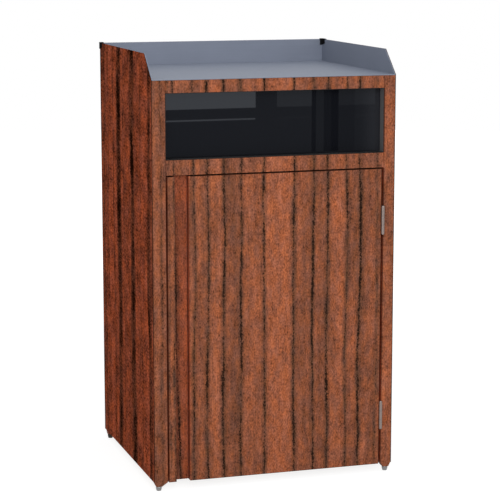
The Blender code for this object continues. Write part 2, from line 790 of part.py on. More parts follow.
def waste_bin():
    """A tapered bin with round corners and a turned-down rim, standing on the bottom panel."""
    bottom = FLOOR_Z + FIT
    height = RAIL_BOTTOM_Z - BIN_HEADROOM - bottom
    half_x = min(-OPENING_LEFT, OPENING_RIGHT) - BIN_SIDE_CLEARANCE - BIN_RIM
    front = DOOR_BACK_Y + BIN_FRONT_CLEARANCE + BIN_RIM
    back = INNER_BACK_Y - BIN_BACK_CLEARANCE - BIN_RIM
    size = Vector((2 * half_x, back - front, height))
    shape = box_shape(size)
    foot_scale = (1 - 2 * BIN_TAPER / size.x, 1 - 2 * BIN_TAPER / size.y, 1)
    bmesh.ops.scale(shape, vec=foot_scale, verts=[vert for vert in shape.verts if vert.co.z < 0])
    uprights = [edge for edge in shape.edges if abs(edge.verts[0].co.z - edge.verts[1].co.z) > height / 2]
    bmesh.ops.bevel(
        shape, geom=uprights, offset=BIN_CORNER, segments=CORNER_STEPS, profile=0.5, affect="EDGES"
    )
    mouth = [face for face in shape.faces if face.normal.z > 0.9]
    bmesh.ops.delete(shape, geom=mouth, context="FACES_ONLY")
    rim_scale = (1 + 2 * BIN_RIM / size.x, 1 + 2 * BIN_RIM / size.y, 1)
    for scale, drop in ((rim_scale, 0), ((1, 1, 1), BIN_RIM_DROP)):
        edges = [edge for edge in shape.edges if edge.is_boundary]
        grown = bmesh.ops.extrude_edge_only(shape, edges=edges)["geom"]
        points = [item for item in grown if isinstance(item, bmesh.types.BMVert)]
        bmesh.ops.scale(shape, vec=scale, verts=points)
        bmesh.ops.translate(shape, vec=(0, 0, -drop), verts=points)
    middle = (0, (front + back) / 2, bottom + height / 2)
    mesh = mesh_from("waste_bin", shape)
    mesh.shade_smooth()
    mesh.set_sharp_from_angle(angle=SHARP_ANGLE)
    body = place("waste_bin", mesh, BIN_FINISH, middle)
    wall = body.modifiers.new("wall", "SOLIDIFY")
    wall.thickness = BIN_WALL
    wall.offset = -1
    wall.use_even_offset = True
    axis_at("bin_axis", (0, middle[1], FLOOR_Z), [body])


def main():
    cores = carcass()
    stiles, middle_rail = face_frame()
    deck_pan()
    corner_caps()
    door_pieces, panel = door()
    door_pieces += hinges(stiles["right"], panel)
    door_pieces.append(catch(middle_rail))
    axis_at("door_axis", (HINGE_X, HINGE_Y, DOOR_BOTTOM_Z), door_pieces)
    flap_mounts(cores)
    axis_at("flap_axis", (0, FLAP_Y, FLAP_Z), flap())
    feet(cores, stiles)
    waste_bin()


main()
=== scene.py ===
"""Looks of the waste station: detailed pieces on the fixed frame, finishes, light and camera.

Metres, +Z up. The front faces -Y, and left and right are as seen from the front.
"""

import functools
import math
from collections import namedtuple

import bmesh
import bpy
from bpy.props import FloatProperty, FloatVectorProperty, PointerProperty
from bpy.types import Operator, Panel, PropertyGroup
from mathutils import Matrix, Vector


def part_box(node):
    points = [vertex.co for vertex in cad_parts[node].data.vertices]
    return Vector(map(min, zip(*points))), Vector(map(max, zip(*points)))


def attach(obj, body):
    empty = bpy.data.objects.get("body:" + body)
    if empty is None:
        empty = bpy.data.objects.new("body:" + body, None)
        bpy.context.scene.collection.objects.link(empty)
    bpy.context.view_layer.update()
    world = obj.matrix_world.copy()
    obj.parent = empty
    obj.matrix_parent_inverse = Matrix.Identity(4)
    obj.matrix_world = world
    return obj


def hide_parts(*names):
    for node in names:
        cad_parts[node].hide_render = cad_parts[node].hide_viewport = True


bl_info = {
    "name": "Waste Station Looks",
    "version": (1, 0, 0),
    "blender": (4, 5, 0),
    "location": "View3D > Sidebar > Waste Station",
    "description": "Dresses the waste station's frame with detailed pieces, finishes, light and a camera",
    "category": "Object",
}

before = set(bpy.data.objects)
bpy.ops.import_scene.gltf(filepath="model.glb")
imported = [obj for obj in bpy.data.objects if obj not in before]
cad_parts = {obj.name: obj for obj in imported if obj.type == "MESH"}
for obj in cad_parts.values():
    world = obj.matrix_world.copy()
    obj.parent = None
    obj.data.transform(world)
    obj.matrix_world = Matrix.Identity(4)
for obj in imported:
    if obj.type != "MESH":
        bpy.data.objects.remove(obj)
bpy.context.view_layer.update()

SIDES = ("left", "right")
LEVELS = ("upper", "lower")
CORNERS = ("front_left", "front_right", "back_left", "back_right")
ROWS = ("top", "bottom")
RAILS = ("top_rail", "middle_rail")

# Rounding of curved surfaces, and what counts as smooth, sharp, flat and one point
ROUND_SIDES = 48
BAND_STEPS = 4
SMOOTH_ANGLE = math.radians(35)
SHARP_ANGLE = math.radians(25)
FLAT_ANGLE = math.radians(0.5)
MERGE = 0.00001

# How nearly a face looks along a direction, and how nearly an edge runs along an axis
FACING = 0.9
STRAIGHT = 0.99

# Turns of a bar that is added along Z, so that it lies along each axis
AXIS_TURNS = {"X": (0, math.pi / 2, 0), "Y": (math.pi / 2, 0, 0), "Z": (0, 0, 0)}

# A foot's outline above its nose, in shares of its radius and of its height up to the stile
FOOT_OUTLINE = (
    (0.95, 0.56),
    (0.96, 0.62),
    (0.92, 0.64),
    (0.92, 0.70),
    (0.99, 0.73),
    (1.0, 0.76),
    (1.0, 0.96),
    (0.96, 1.0),
)

# The flat of a foot's tip and the rounding of its nose, in shares of its radius
FOOT_TIP_SHARE = 0.66
FOOT_NOSE_SHARE = 0.14

# One turn of the stud's thread, in shares of its depth and of its pitch
THREAD_OUTLINE = ((1.0, 0.35), (1.0, 0.50), (0.0, 0.85), (0.0, 1.0))

# A screw: its point as a share of its shank, the face of its head and the arms of its cross recess as
# shares of the head, the head's edge as a share of its height, and how far the recess's tool narrows
SCREW_POINT = 1 / 5
HEAD_FACE = 0.97
RECESS_HALF_WIDTH = 1 / 7
RECESS_REACH = 0.62
HEAD_EDGE = 1 / 5
RECESS_TAPER = 0.55

# Rounding of a bumper's free end, as a share of its length
BUMPER_DOME = 1 / 3

# Width of the bin below the stacking step, as a share of that above it
BIN_STEP_SHARE = 0.985

# How far a hand hole is cut to either side of its middle, in wall thicknesses
HOLE_REACH = 4

# Grain of a sheet: its lines, the axis that they are spread along, the face that it folds back from,
# and its lean
Grain = namedtuple("Grain", "lines axis face lean", defaults=(0.0, 0.0))

# Dark lines of the printed grain: place across the face, weight from 0, faint, to 1, full, or more,
# broad, and dullness of the band that follows, where a new one starts
FRONT_LINES = (
    (-0.312, 0.30, 0.6),
    (-0.291, 0.20, 0.3),
    (-0.277, 0.65, 0.6),
    (-0.224, 0.70, 0.5),
    (-0.187, 0.85, 0.2),
    (-0.143, 0.95, 0.8),
    (-0.096, 0.90, 0.3),
    (-0.032, 0.90, 0.0),
    (0.051, 1.05, 0.6),
    (0.105, 0.95, 0.6),
    (0.145, 0.95, 0.3),
    (0.199, 0.75, 0.5),
    (0.237, 0.95, 0.6),
    (0.287, 0.45, 0.4),
    (0.348, 0.50, 0.4),
)
SIDE_LINES = (
    (-0.266, 0.60, 0.7),
    (-0.253, 1.00, None),
    (-0.243, 0.75, 0.2),
    (-0.163, 0.30, 0.4),
    (-0.093, 0.75, 0.9),
    (-0.084, 1.10, None),
    (-0.076, 1.25, None),
    (-0.068, 1.05, None),
    (-0.058, 0.70, 0.5),
    (0.026, 0.20, 0.3),
    (0.061, 0.75, 0.9),
    (0.070, 1.05, None),
    (0.078, 1.25, None),
    (0.086, 1.10, None),
    (0.096, 0.70, 0.3),
    (0.141, 0.45, 0.1),
    (0.205, 0.15, 0.4),
    (0.252, 0.65, None),
    (0.264, 0.45, 0.6),
    (0.293, 0.80, None),
)
# The groove's line is print; the band left of it keeps the first, duller tone and the band right of it turns
# brighter, which paints the pull strip's shadow on the groove's left part
GROOVE_LINES = ((-0.2556, 0.95, 0.3),)

# How far the groove's line leans with each metre up
GROOVE_LEAN = 0.029

# Noises of the grain: detail, then scales across and along it on the front and back, and on the sides
GRAIN_NOISES = {
    "drift": (1.0, (5.0, 2.4), (5.0, 2.4)),
    "jitter": (2.0, (40.0, 24.0), (40.0, 24.0)),
    "break": (1.0, (14.0, 6.0), (7.0, 8.0)),
    "dash": (2.0, (110.0, 62.0), (60.0, 62.0)),
    "grit": (2.0, (380.0, 200.0), (130.0, 200.0)),
    "streak": (3.0, (42.0, 2.2), (24.0, 2.2)),
    "patch": (3.0, (24.0, 9.0), (11.0, 10.0)),
    "halo": (3.0, (36.0, 12.0), (36.0, 12.0)),
    "speckle": (3.0, (300.0, 170.0), (100.0, 170.0)),
    "fibre": (2.0, (560.0, 16.0), (200.0, 16.0)),
    "mottle": (2.0, (130.0, 70.0), (45.0, 70.0)),
    "cloud": (2.0, (50.0, 18.0), (19.0, 15.0)),
    "hue": (3.0, (55.0, 26.0), (20.0, 22.0)),
    "fleck": (1.0, (260.0, 110.0), (85.0, 110.0)),
}

# Strength of those noises on the front and back, and on the sides. Lines stray in line widths
GRAIN_STRENGTHS = {
    "drift": (8.0, 22.0),
    "jitter": (2.4, 2.4),
    "break": (0.4, 0.75),
    "streak": (1.54, 1.54),
    "patch": (1.26, 1.26),
    "halo": (2.6, 2.6),
    "speckle": (2.2, 3.2),
    "fibre": (0.9, 0.5),
    "mottle": (1.1, 1.1),
    "cloud": (1.2, 1.9),
}

# How ink, pores and halo fall off with each line width from a grain line, and how far off a faint line counts
INK_FALL = 0.085
PORE_FALL = 0.10
HALO_FALL = 0.23
FAINT_GAP = 2.0

# Shares of the dash and grit noises in the ink and in the pores
INK_DASH = 0.5
INK_GRIT = 0.4
PORE_DASH = 0.3
PORE_GRIT = 0.7

# Ranges of noise over which ink, pores, flecks and the warm or cool tint set in, and how dark ink and
# flecks get
INK_RANGE = (-0.12, 0.04)
PORE_RANGE = (-0.08, 0.0)
FLECK_RANGE = (0.17, 0.26)
HUE_RANGE = (-0.18, 0.18)
INK_DEPTH = 0.75
FLECK_DEPTH = 0.7

# The field's bands: the width that their ramp covers, the ease at each step, the first band's dullness,
# their weight against the noises, the dullness all over, and the least brightness that the noises leave
GRAIN_SPAN = 0.72
BAND_EASE = 0.003
FIRST_DULL = 0.7
BAND_WEIGHT = 0.75
BASE_DULL = 0.1
LEAST_TONE = 0.3

# Dark edges: how far a face has turned where they start and end, and the space kept from a groove or a joint
TOP_TURN = (0.7, 0.9)
LEVEL_TURN = (0.3, 0.5)
RIM_TURN = (0.5, 0.6)
FRONT_TURN = (0.90, 0.97)
FLANK_TURN = (0.93, 0.98)
# FLANK_TINT_TURN sets where the tint on the flanks starts: painted shade on the stiles' and rails' flanks,
# painted light on the door's
FLANK_TINT_TURN = (0.6, 0.8)
STILE_EASE = 0.01
GROOVE_MARGIN = 0.003
GROOVE_EASE = 0.001
JOINT_EASE = 0.002

# How far before the flap's right end the painted light starts, and how far past it that light would be full
END_LIGHT_START = 0.068
END_LIGHT_FULL = 0.017

# Ranges of noise over which scuffs, scratches, dust and chips set in, and of turn over which the lining's
# painted shade, on its top and bottom strips, gives way on its jambs
SCUFF_RANGE = (0.12, 0.24)
SCRATCH_RANGE = (0.16, 0.22)
DUST_RANGE = (0.20, 0.30)
CHIP_RANGE = (0.1, 1.0)
LINING_SHADE_TURN = (0.5, 0.9)

# Depth of the relief in the finishes
LAMINATE_DEPTH = 0.00025
METAL_DEPTH = 0.00004
MOULD_DEPTH = 0.00006
BIN_DEPTH = 0.00012
CHIP_DEPTH = 0.0002

# How strongly acrylic bends light
ACRYLIC_IOR = 1.49

# Lamps, by the setting of their power: each one's place, the point that it looks at, and its width
LAMPS = {
    "key": ((-1.0, -4.2, 2.3), (0, 0, 0.6), 2.2),
    "fill": ((2.6, -2.6, 1.8), (0, 0, 0.5), 1.8),
    "top": ((0.2, -0.2, 3.2), (0, 0, 1.0), 1.6),
}

# Floor: its radius, its share of white near the object, and the squared distances over which that grows to 1
FLOOR_SIDES = 96
FLOOR_RADIUS = 9.0
FLOOR_NEAR_WHITE = 0.66
FLOOR_FADE = (1.2, 9.0)

# The dark flag that the flap mirrors, and the panes on it: range across, range up, and brightness,
# where 1 is white
FLAG = ((0.2, 2.3), (0.1, 1.5), 0.16)
FLAG_PANES = (
    ((0.30, 1.009), (0.694, 0.95), 1.03),
    ((1.111, 1.279), (0.694, 0.95), 0.39),
    ((1.410, 1.49), (0.694, 0.95), 0.21),
    ((1.49, 1.80), (0.694, 0.95), 0.30),
    ((1.410, 1.49), (0.1, 0.694), 0.11),
    ((0.50, 1.007), (0.638, 0.645), 0.98),
    ((1.111, 1.279), (0.640, 0.644), 0.25),
    ((1.49, 1.80), (0.640, 0.644), 0.25),
    ((1.279, 1.300), (0.1, 0.95), 0.03),
    ((1.338, 1.374), (0.1, 0.95), 0.05),
    ((1.374, 1.410), (0.1, 0.95), 0.0),
)

# Tint of the flag and its panes, and how far the panes stand in front of it
FLAG_TINT = (0.93, 1.0, 1.10, 1.0)
PANE_PROUD = 0.02

WHITE = (1.0, 1.0, 1.0, 1.0)


# Settings that a user can change


def length(name, description, default):
    """A size in metres that a user can change."""
    return FloatProperty(
        name=name, description=description, default=default, min=0.0, unit="LENGTH", precision=5
    )


def share(name, description, default):
    """A share from 0 to 1 that a user can change."""
    return FloatProperty(
        name=name, description=description, default=default, min=0.0, max=1.0, subtype="FACTOR"
    )


def amount(name, description, default):
    """A plain number from 0 up that a user can change."""
    return FloatProperty(name=name, description=description, default=default, min=0.0)


def colour(name, description, default, most=1.0):
    """A colour that a user can change, or a tint, which may go over 1."""
    return FloatVectorProperty(
        name=name, description=description, default=default, min=0.0, max=most, size=3, subtype="COLOR"
    )


def power(name, description, default):
    """The power of a lamp in watts."""
    return FloatProperty(name=name, description=description, default=default, min=0.0, unit="POWER")


def angle(name, description, degrees):
    """An angle that a user can change."""
    return FloatProperty(
        name=name, description=description, default=math.radians(degrees), subtype="ANGLE"
    )


class StationSizes(PropertyGroup):
    """Sizes of the details that the frame doesn't hold."""

    eased_edge: length("Eased edge", "Rounding of the boards' edges", 0.0010)
    fine_edge: length("Fine edge", "Rounding of the caps' and the strike's edges", 0.0005)
    foot_tip: length("Taper tip", "Width of a stile's tapered end where it meets the foot", 0.016)
    undercut: length("Pull undercut", "How far the pull strip's finger side slopes back", 0.006)
    banding: length("Banding", "Rounding of the banded edges of the door and its opening", 0.0020)
    sheet: length("Deck sheet", "Thickness of the deck's folded sheet", 0.0015)
    fold: length("Fold radius", "Outer radius of the deck's folds", 0.0035)
    setback: length("Gallery setback", "How far the gallery's front ends slope back", 0.073)
    cap_reach: length("Cap reach", "How much longer a corner cap's side leg is than its back leg", 0.018)
    cap_tail: length("Cap tail", "How much deeper a corner cap is at the corner", 0.005)
    lining: length("Window lining", "Thickness of the dark lining round the window", 0.0012)
    lining_back: length("Lining setback", "How far the lining lies behind the face", 0.003)
    barrel: length("Hinge barrel", "Radius of a hinge's knuckles", 0.0046)
    leaf: length("Hinge leaf", "Thickness of a hinge leaf", 0.0018)
    hairline: length("Hairline", "Space left between pieces that touch", 0.0003)
    leaf_round: length("Leaf corner", "Rounding of a hinge leaf's free corners", 0.003)
    screw_head: length("Screw head", "Radius of a screw head", 0.0028)
    screw_shank: length("Screw shank", "Radius of a screw's shank", 0.0015)
    catch_round: length("Catch corner", "Rounding of the catch's upright edges", 0.003)
    strike_round: length("Strike corner", "Rounding of the strike plate's corners", 0.004)
    foot: length("Foot", "Radius of a foot's collar", 0.0081)
    stud: length("Foot stud", "Radius of the threaded stud of a foot", 0.004)
    thread_pitch: length("Thread pitch", "Rise of one turn of the stud's thread", 0.0015)
    thread_depth: length("Thread depth", "Depth of the stud's thread", 0.0006)
    acrylic_edge: length("Flap edge", "Polished chamfer round the flap", 0.0006)
    bin_rim: length("Bin rim", "How far the bin's rim stands out", 0.012)
    bin_rim_drop: length("Bin rim drop", "How far the bin's rim turns down", 0.022)
    bin_rim_round: length("Bin rim edge", "Rounding of the bin's rim", 0.003)
    bin_taper: length("Bin taper", "How far each wall of the bin leans in at the foot", 0.032)
    bin_corner: length("Bin corner", "Radius of the bin's upright corners", 0.060)
    bin_heel: length("Bin heel", "Rounding between the bin's walls and its floor", 0.016)
    bin_wall: length("Bin wall", "Thickness of the bin's wall", 0.004)
    bin_step: length("Bin step", "How far the stacking step lies below the bin's rim", 0.110)
    hole_drop: length("Hand hole drop", "How far a hand hole's middle lies below the bin's rim", 0.0682)
    hole_length: length("Hand hole length", "Length of a hand hole", 0.1056)
    hole_height: length("Hand hole height", "Height of a hand hole", 0.0242)
    hole_round: length("Hand hole round", "Rounding of a hand hole's ends", 0.01089)


class StationLaminate(PropertyGroup):
    """Printed wood-grain laminate."""

    orange: colour("Orange field", "Warm light field between the grain lines", (0.335, 0.100, 0.046))
    brown: colour("Brown field", "Duller field between the grain lines", (0.146, 0.053, 0.029))
    shade: colour("Shade", "Grey-brown shade that gathers towards a grain line", (0.104, 0.043, 0.024))
    warm: colour("Warm tint", "Tint of the yellower patches", (1.06, 1.01, 0.87), 2.0)
    cool: colour("Cool tint", "Tint of the pinker patches", (0.90, 1.00, 1.16), 2.0)
    pore: colour("Pores", "Near-black pores of the grain lines", (0.012, 0.005, 0.002))
    # Painted shade: this tint draws the side sheets, and the stiles' and rails' flanks, darker and redder
    # than the front, where less light falls
    side_shade_tint: colour("Side tint", "Tint of the redder sheet on the sides", (1.05, 0.76, 0.72), 2.0)
    # Painted shade: this tint draws the recessed finger groove darker and redder
    groove_shade_tint: colour("Groove tint", "Tint of the redder finger groove", (1.02, 0.84, 0.79), 2.0)
    # Painted light: this tint draws the door's flanks brighter and redder, as if lit from the left
    flank_light_tint: colour("Flank tint", "Tint of the door's redder flanks", (1.40, 1.02, 0.96), 2.0)
    edge: colour("Sheet edge", "Dark core that shows along a sheet's cut edge", (0.035, 0.018, 0.012))
    # Partly painted shade: the dark banding is the laminate's dark core, and it also darkens the edges beside
    # the gaps round the door, where shade falls
    banding: colour("Banding", "Dark banding round the door and its opening", (0.062, 0.020, 0.010))
    line_width: length("Line width", "Half width of a grain line", 0.0026)
    roughness: share("Roughness", "Roughness of the laminate", 0.55)
    gloss: share("Gloss", "Specular level of the laminate on the front and back", 0.06)


class StationMetal(PropertyGroup):
    """Metals."""

    # Partly painted shade: the deck's coat is set darker than bare, for the shadow of the trays that stand on
    # the deck
    deck: colour("Deck steel", "Satin coat on the deck", (0.226, 0.251, 0.313))
    sheet: colour("Door sheet", "Steel sheet on the back of the door", (0.40, 0.40, 0.41))
    zinc: colour("Zinc", "Plated hinges, screws and brackets", (0.245, 0.200, 0.183))
    foot: colour("Foot metal", "Front levelling feet", (0.24, 0.234, 0.234))
    # Painted shade: the back feet are drawn dark, for the shade under the cabinet's back
    shaded_back_foot: colour("Dark foot metal", "Back levelling feet", (0.045, 0.038, 0.033))
    aluminium: colour("Aluminium", "Hanger rail of the flap", (0.55, 0.55, 0.56))


class StationPlastic(PropertyGroup):
    """Plastics, rubber and boards."""

    acrylic: colour("Smoked acrylic", "Push flap", (0.0060, 0.0065, 0.0090))
    # Painted light: the flap is drawn lighter towards its right end, beside the jamb
    painted_end_light: colour("Flap haze", "Haze that wiping leaves at the flap's right end", (0.0234, 0.0244, 0.0295))
    dust: colour("Dust", "Dust on the flap", (0.05, 0.05, 0.05))
    acrylic_gloss: share("Flap gloss", "Specular level of the flap", 0.5)
    lining: colour("Lining", "Charcoal lining of the window", (0.122, 0.120, 0.122))
    black: colour("Black plastic", "Corner caps and catch", (0.012, 0.012, 0.013))
    nylon: colour("Nylon", "Bushes of the flap", (0.66, 0.65, 0.60))
    rubber: colour("Rubber", "Bumpers of the flap", (0.022, 0.022, 0.022))
    bin: colour("Bin plastic", "Waste bin", (0.10, 0.105, 0.11))
    board: colour("Core board", "Pressed wood of the carcass", (0.40, 0.28, 0.17))
    chip: colour("Chips", "Darker chips in the core board", (0.22, 0.13, 0.07))


class StationStage(PropertyGroup):
    """Floor, light and camera."""

    floor: colour("Floor", "Pale floor", (0.95, 0.95, 0.95))
    floor_white: amount("Floor white", "White that makes up for the floor's dimmer light", 1.28)
    ambient: amount("Ambient", "Strength of the light all round", 0.50)
    flag: length("Flag distance", "How far in front of the middle the dark flag stands", 3.6)
    key: power("Key", "Soft light from the front left", 88.0)
    fill: power("Fill", "Soft light from the front right", 10.0)
    top: power("Top", "Soft light from above", 11.0)
    lens: amount("Lens", "Focal length in millimetres", 132.69)
    eye: FloatVectorProperty(
        name="Eye",
        description="Place of the camera",
        default=(-1.5056, -4.8635, 1.4535),
        size=3,
        subtype="TRANSLATION",
        unit="LENGTH",
    )
    yaw: angle("Yaw", "How far the camera turns to the right of straight ahead", 17.406)
    pitch: angle("Pitch", "How far the camera looks down", 9.648)


def looks(group):
    """One of the groups of settings that a user can change."""
    return getattr(bpy.context.scene, "station_" + group)


# Shader nodes


class Wire:
    """A socket that takes part in Python arithmetic, which adds Math nodes to its tree."""

    def __init__(self, graph, socket):
        self.graph = graph
        self.socket = socket

    def maths(self, operation, *values):
        """The wire that leaves a new Math node."""
        return self.graph.add("ShaderNodeMath", {"operation": operation}, values)

    def __add__(self, other):
        return self.maths("ADD", self, other)

    __radd__ = __add__

    def __sub__(self, other):
        return self.maths("SUBTRACT", self, other)

    def __rsub__(self, other):
        return self.maths("SUBTRACT", other, self)

    def __mul__(self, other):
        return self.maths("MULTIPLY", self, other)

    __rmul__ = __mul__

    def __abs__(self):
        return self.maths("ABSOLUTE", self)

    def least(self, other):
        """The smaller of two values."""
        return self.maths("MINIMUM", self, other)

    def most(self, other):
        """The larger of two values."""
        return self.maths("MAXIMUM", self, other)

    def rise(self, low, high):
        """0 up to low, 1 from high on, and a smooth rise between them."""
        sockets = {"Value": self, "From Min": low, "From Max": high, "To Min": 0.0, "To Max": 1.0}
        return self.graph.add("ShaderNodeMapRange", {"interpolation_type": "SMOOTHSTEP"}, sockets)

    def outside(self, low, high, ease):
        """0 from low to high, and 1 past a smooth rise on either side."""
        return 1.0 - self.rise(low - ease, low) * (1.0 - self.rise(high, high + ease))


class Graph:
    """A node tree that is filled one node at a time."""

    def __init__(self, owner):
        owner.use_nodes = True
        self.owner = owner
        self.tree = owner.node_tree
        self.tree.nodes.clear()

    def add(self, kind, settings=None, sockets=(), output=0):
        """Adds a node, with its settings first and then the values or links of its sockets."""
        node = self.tree.nodes.new(kind)
        for name, value in (settings or {}).items():
            if name == "stops":
                set_stops(node.color_ramp.elements, value)
            else:
                setattr(node, name, value)
        pairs = sockets.items() if isinstance(sockets, dict) else enumerate(sockets)
        for key, value in pairs:
            if isinstance(value, Wire):
                self.tree.links.new(value.socket, node.inputs[key])
            else:
                node.inputs[key].default_value = value
        return Wire(self, node.outputs[output]) if node.outputs else None

    def noise(self, place, scale, detail=2.0):
        """Noise about 0, at most one half either way, with one scale or one for each axis."""
        scales = (scale, scale, scale) if isinstance(scale, float) else scale
        stretched = self.add("ShaderNodeVectorMath", {"operation": "MULTIPLY"}, (place, scales))
        sockets = {"Vector": stretched, "Scale": 1.0, "Detail": detail}
        return self.add("ShaderNodeTexNoise", None, sockets) - 0.5

    def blend(self, factor, first, second, mode="MIX"):
        """Mixes two colours."""
        settings = {"data_type": "RGBA", "blend_type": mode}
        return self.add("ShaderNodeMix", settings, {0: factor, 6: opaque(first), 7: opaque(second)}, 2)

    def tinted(self, first, second):
        """A colour times a tint, or times a grey."""
        return self.blend(1.0, first, second, "MULTIPLY")

    def bump(self, height, distance, strength=0.6):
        """A normal that follows a height, which is drawn as deep as the distance."""
        sockets = {"Height": height, "Distance": distance, "Strength": strength}
        return self.add("ShaderNodeBump", None, sockets)

    def spot(self, output="Object"):
        """A point of the surface, or its direction, in the object's own frame."""
        return self.add("ShaderNodeTexCoord", None, (), output)

    def parts(self, vector):
        """The x, y and z of a vector."""
        first = self.add("ShaderNodeSeparateXYZ", None, (vector,))
        return [Wire(self, socket) for socket in first.socket.node.outputs]

    def surface(self, sockets):
        """Ends the tree in a Principled shader and gives its material."""
        return self.end(self.add("ShaderNodeBsdfPrincipled", None, sockets))

    def end(self, shader, kind="ShaderNodeOutputMaterial"):
        """Ends the tree in a shader and gives its owner."""
        self.add(kind, None, {"Surface": shader})
        return self.owner


def set_stops(elements, stops):
    """Gives a ramp its stops, each a place from 0 to 1 and a grey."""
    while len(elements) > 1:
        elements.remove(elements[-1])
    for number, (place, grey) in enumerate(stops):
        element = elements[0] if number == 0 else elements.new(place)
        element.position = place
        element.color = (grey, grey, grey, 1.0)


def opaque(value):
    """A colour with its alpha, or the wire that carries one."""
    return value if isinstance(value, Wire) else (*value, 1.0)


def new_finish(name):
    """The empty tree of a new material."""
    return Graph(bpy.data.materials.new(name))


# Finishes


def band_stops(lines):
    """Stops of the field's dullness, which changes at each grain line that starts a new band."""
    dull = FIRST_DULL
    stops = []
    for place, _, next_dull in lines:
        if next_dull is not None:
            stops += [(place - BAND_EASE, dull), (place + BAND_EASE, next_dull)]
            dull = next_dull
    return [(0.5 + place / GRAIN_SPAN, grey) for place, grey in stops]


def printed_grain(graph, across, up, grain):
    """Colour, line mask and speckle of the printed wood grain, which runs along up."""
    look = looks("laminate")
    side = "XY".index(grain.axis)
    place = graph.add("ShaderNodeCombineXYZ", None, (across, up, 0.0))

    def noise(name):
        detail, *scales = GRAIN_NOISES[name]
        return graph.noise(place, (*scales[side], 1.0), detail)

    def swing(name):
        return noise(name) * GRAIN_STRENGTHS[name][side]

    # Distance to the nearest line, in line widths
    strayed = across + (swing("drift") + swing("jitter")) * look.line_width
    gaps = [
        abs(strayed - spot) + (1.0 - weight) * FAINT_GAP * look.line_width
        for spot, weight, _ in grain.lines
    ]
    nearest = functools.reduce(Wire.least, gaps) * (1.0 / look.line_width)

    # Broken ink of the lines, with finer and blacker pores in it
    dash = noise("dash")
    grit = noise("grit")
    stretch = swing("break")
    ink = INK_DASH * dash + INK_GRIT * grit + stretch - nearest * INK_FALL
    pores = PORE_DASH * dash + PORE_GRIT * grit + stretch - nearest * PORE_FALL
    line = (ink.rise(*INK_RANGE) * INK_DEPTH).most(pores.rise(*PORE_RANGE))

    # Field between the lines: bands, shade beside the lines, fine tones, warm and cool patches
    ramp = {"stops": band_stops(grain.lines)}
    bands = graph.add("ShaderNodeValToRGB", ramp, (strayed * (1.0 / GRAIN_SPAN) + 0.5,))
    dull = BAND_WEIGHT * bands + swing("streak") + swing("patch") + BASE_DULL
    field = graph.blend(dull, look.orange, look.brown)
    halo = (1.0 - nearest * HALO_FALL).most(0.0) * (1.0 + swing("halo")).most(0.0)
    field = graph.blend(halo.least(1.0), field, look.shade)
    speckle = noise("speckle")
    tone = 1.0 + speckle * GRAIN_STRENGTHS["speckle"][side]
    tone = tone + swing("fibre") + swing("mottle") + swing("cloud")
    field = graph.tinted(field, tone.most(LEAST_TONE))
    field = graph.tinted(field, graph.blend(noise("hue").rise(*HUE_RANGE), look.warm, look.cool))
    fleck = noise("fleck").rise(*FLECK_RANGE) * FLECK_DEPTH
    return graph.blend(line.most(fleck), field, look.pore), line, speckle


def top_edge(place, way):
    """1 along a board's top edge, from its place and the way that its face looks."""
    return way[2].rise(*TOP_TURN)


# Rails take the dark banding on these edges: partly the laminate's core, partly painted shade beside the gaps
def level_edges(place, way):
    """1 along the upper and lower edges of a rail."""
    return abs(way[2]).rise(*LEVEL_TURN)


def rim_round_x(place, way):
    """1 all round a sheet that faces X."""
    return 1.0 - abs(way[0]).rise(*RIM_TURN)


def rim_round_y(place, way):
    """1 all round a sheet that faces Y."""
    return 1.0 - abs(way[1]).rise(*RIM_TURN)


def rounded_edges(way):
    """1 on what is rounded between a board's front and its flanks."""
    return (1.0 - abs(way[1]).rise(*FRONT_TURN)) * (1.0 - abs(way[0]).rise(*FLANK_TURN))


# The dark banding on these edges is partly the laminate's core and partly painted shade beside the door's
# gaps
def door_banding_and_gap_shade(place, way):
    """1 along the door's rounded edges, apart from the two beside the finger groove."""
    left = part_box("door_pull_strip")[1].x - GROOVE_MARGIN
    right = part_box("door_panel")[0].x + GROOVE_MARGIN
    return rounded_edges(way) * place[0].outside(left, right, GROOVE_EASE)


# Partly painted shade as well: the stiles' banded inner edges border the door's gaps
def stile_banding_and_gap_shade(place, way):
    """1 along the stiles' top and their rounded inner edges, apart from where the rails join them."""
    middle = centre_of("front_stile_right").x
    inner = rounded_edges(way) * (1.0 - abs(place[0]).rise(middle - STILE_EASE, middle))
    for rail in RAILS:
        low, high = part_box(rail)
        inner = inner * place[2].outside(low.z, high.z, JOINT_EASE)
    return inner.most(top_edge(place, way))


def laminate(name, grain, edges=top_edge, tint=None, painted_flank_tint=None, edge=None, gloss=None):
    """A wood-grain laminate whose dark edges lie where the edges function says.

    It may have a tint all over, which is painted shade on the sides and in the groove, another on its flanks,
    which is painted shade on the stiles and rails and painted light on the door, and its own edge colour and
    gloss.
    """
    look = looks("laminate")
    graph = new_finish(name)
    spot = graph.spot()
    place = graph.parts(spot)
    way = graph.parts(graph.spot("Normal"))
    across = place[1] if grain.axis == "Y" else place[0] + abs(place[1] - grain.face)
    if grain.lean:
        across = across + place[2] * grain.lean
    shown, line, speckle = printed_grain(graph, across, place[2], grain)
    if tint:
        shown = graph.tinted(shown, tint)
    # The tint on the flanks is painted shade on the stiles and rails, and painted light on the door
    if painted_flank_tint:
        shown = graph.blend(abs(way[0]).rise(*FLANK_TINT_TURN), shown, graph.tinted(shown, painted_flank_tint))
    smudge = graph.noise(spot, scale=7.0, detail=3.0)
    return graph.surface(
        {
            "Base Color": graph.blend(edges(place, way), shown, edge or look.edge),
            "Roughness": look.roughness + smudge * 0.16 + line * 0.12,
            "Normal": graph.bump(speckle * 0.35 - line, LAMINATE_DEPTH, strength=0.5),
            "Specular IOR Level": look.gloss if gloss is None else gloss,
        }
    )


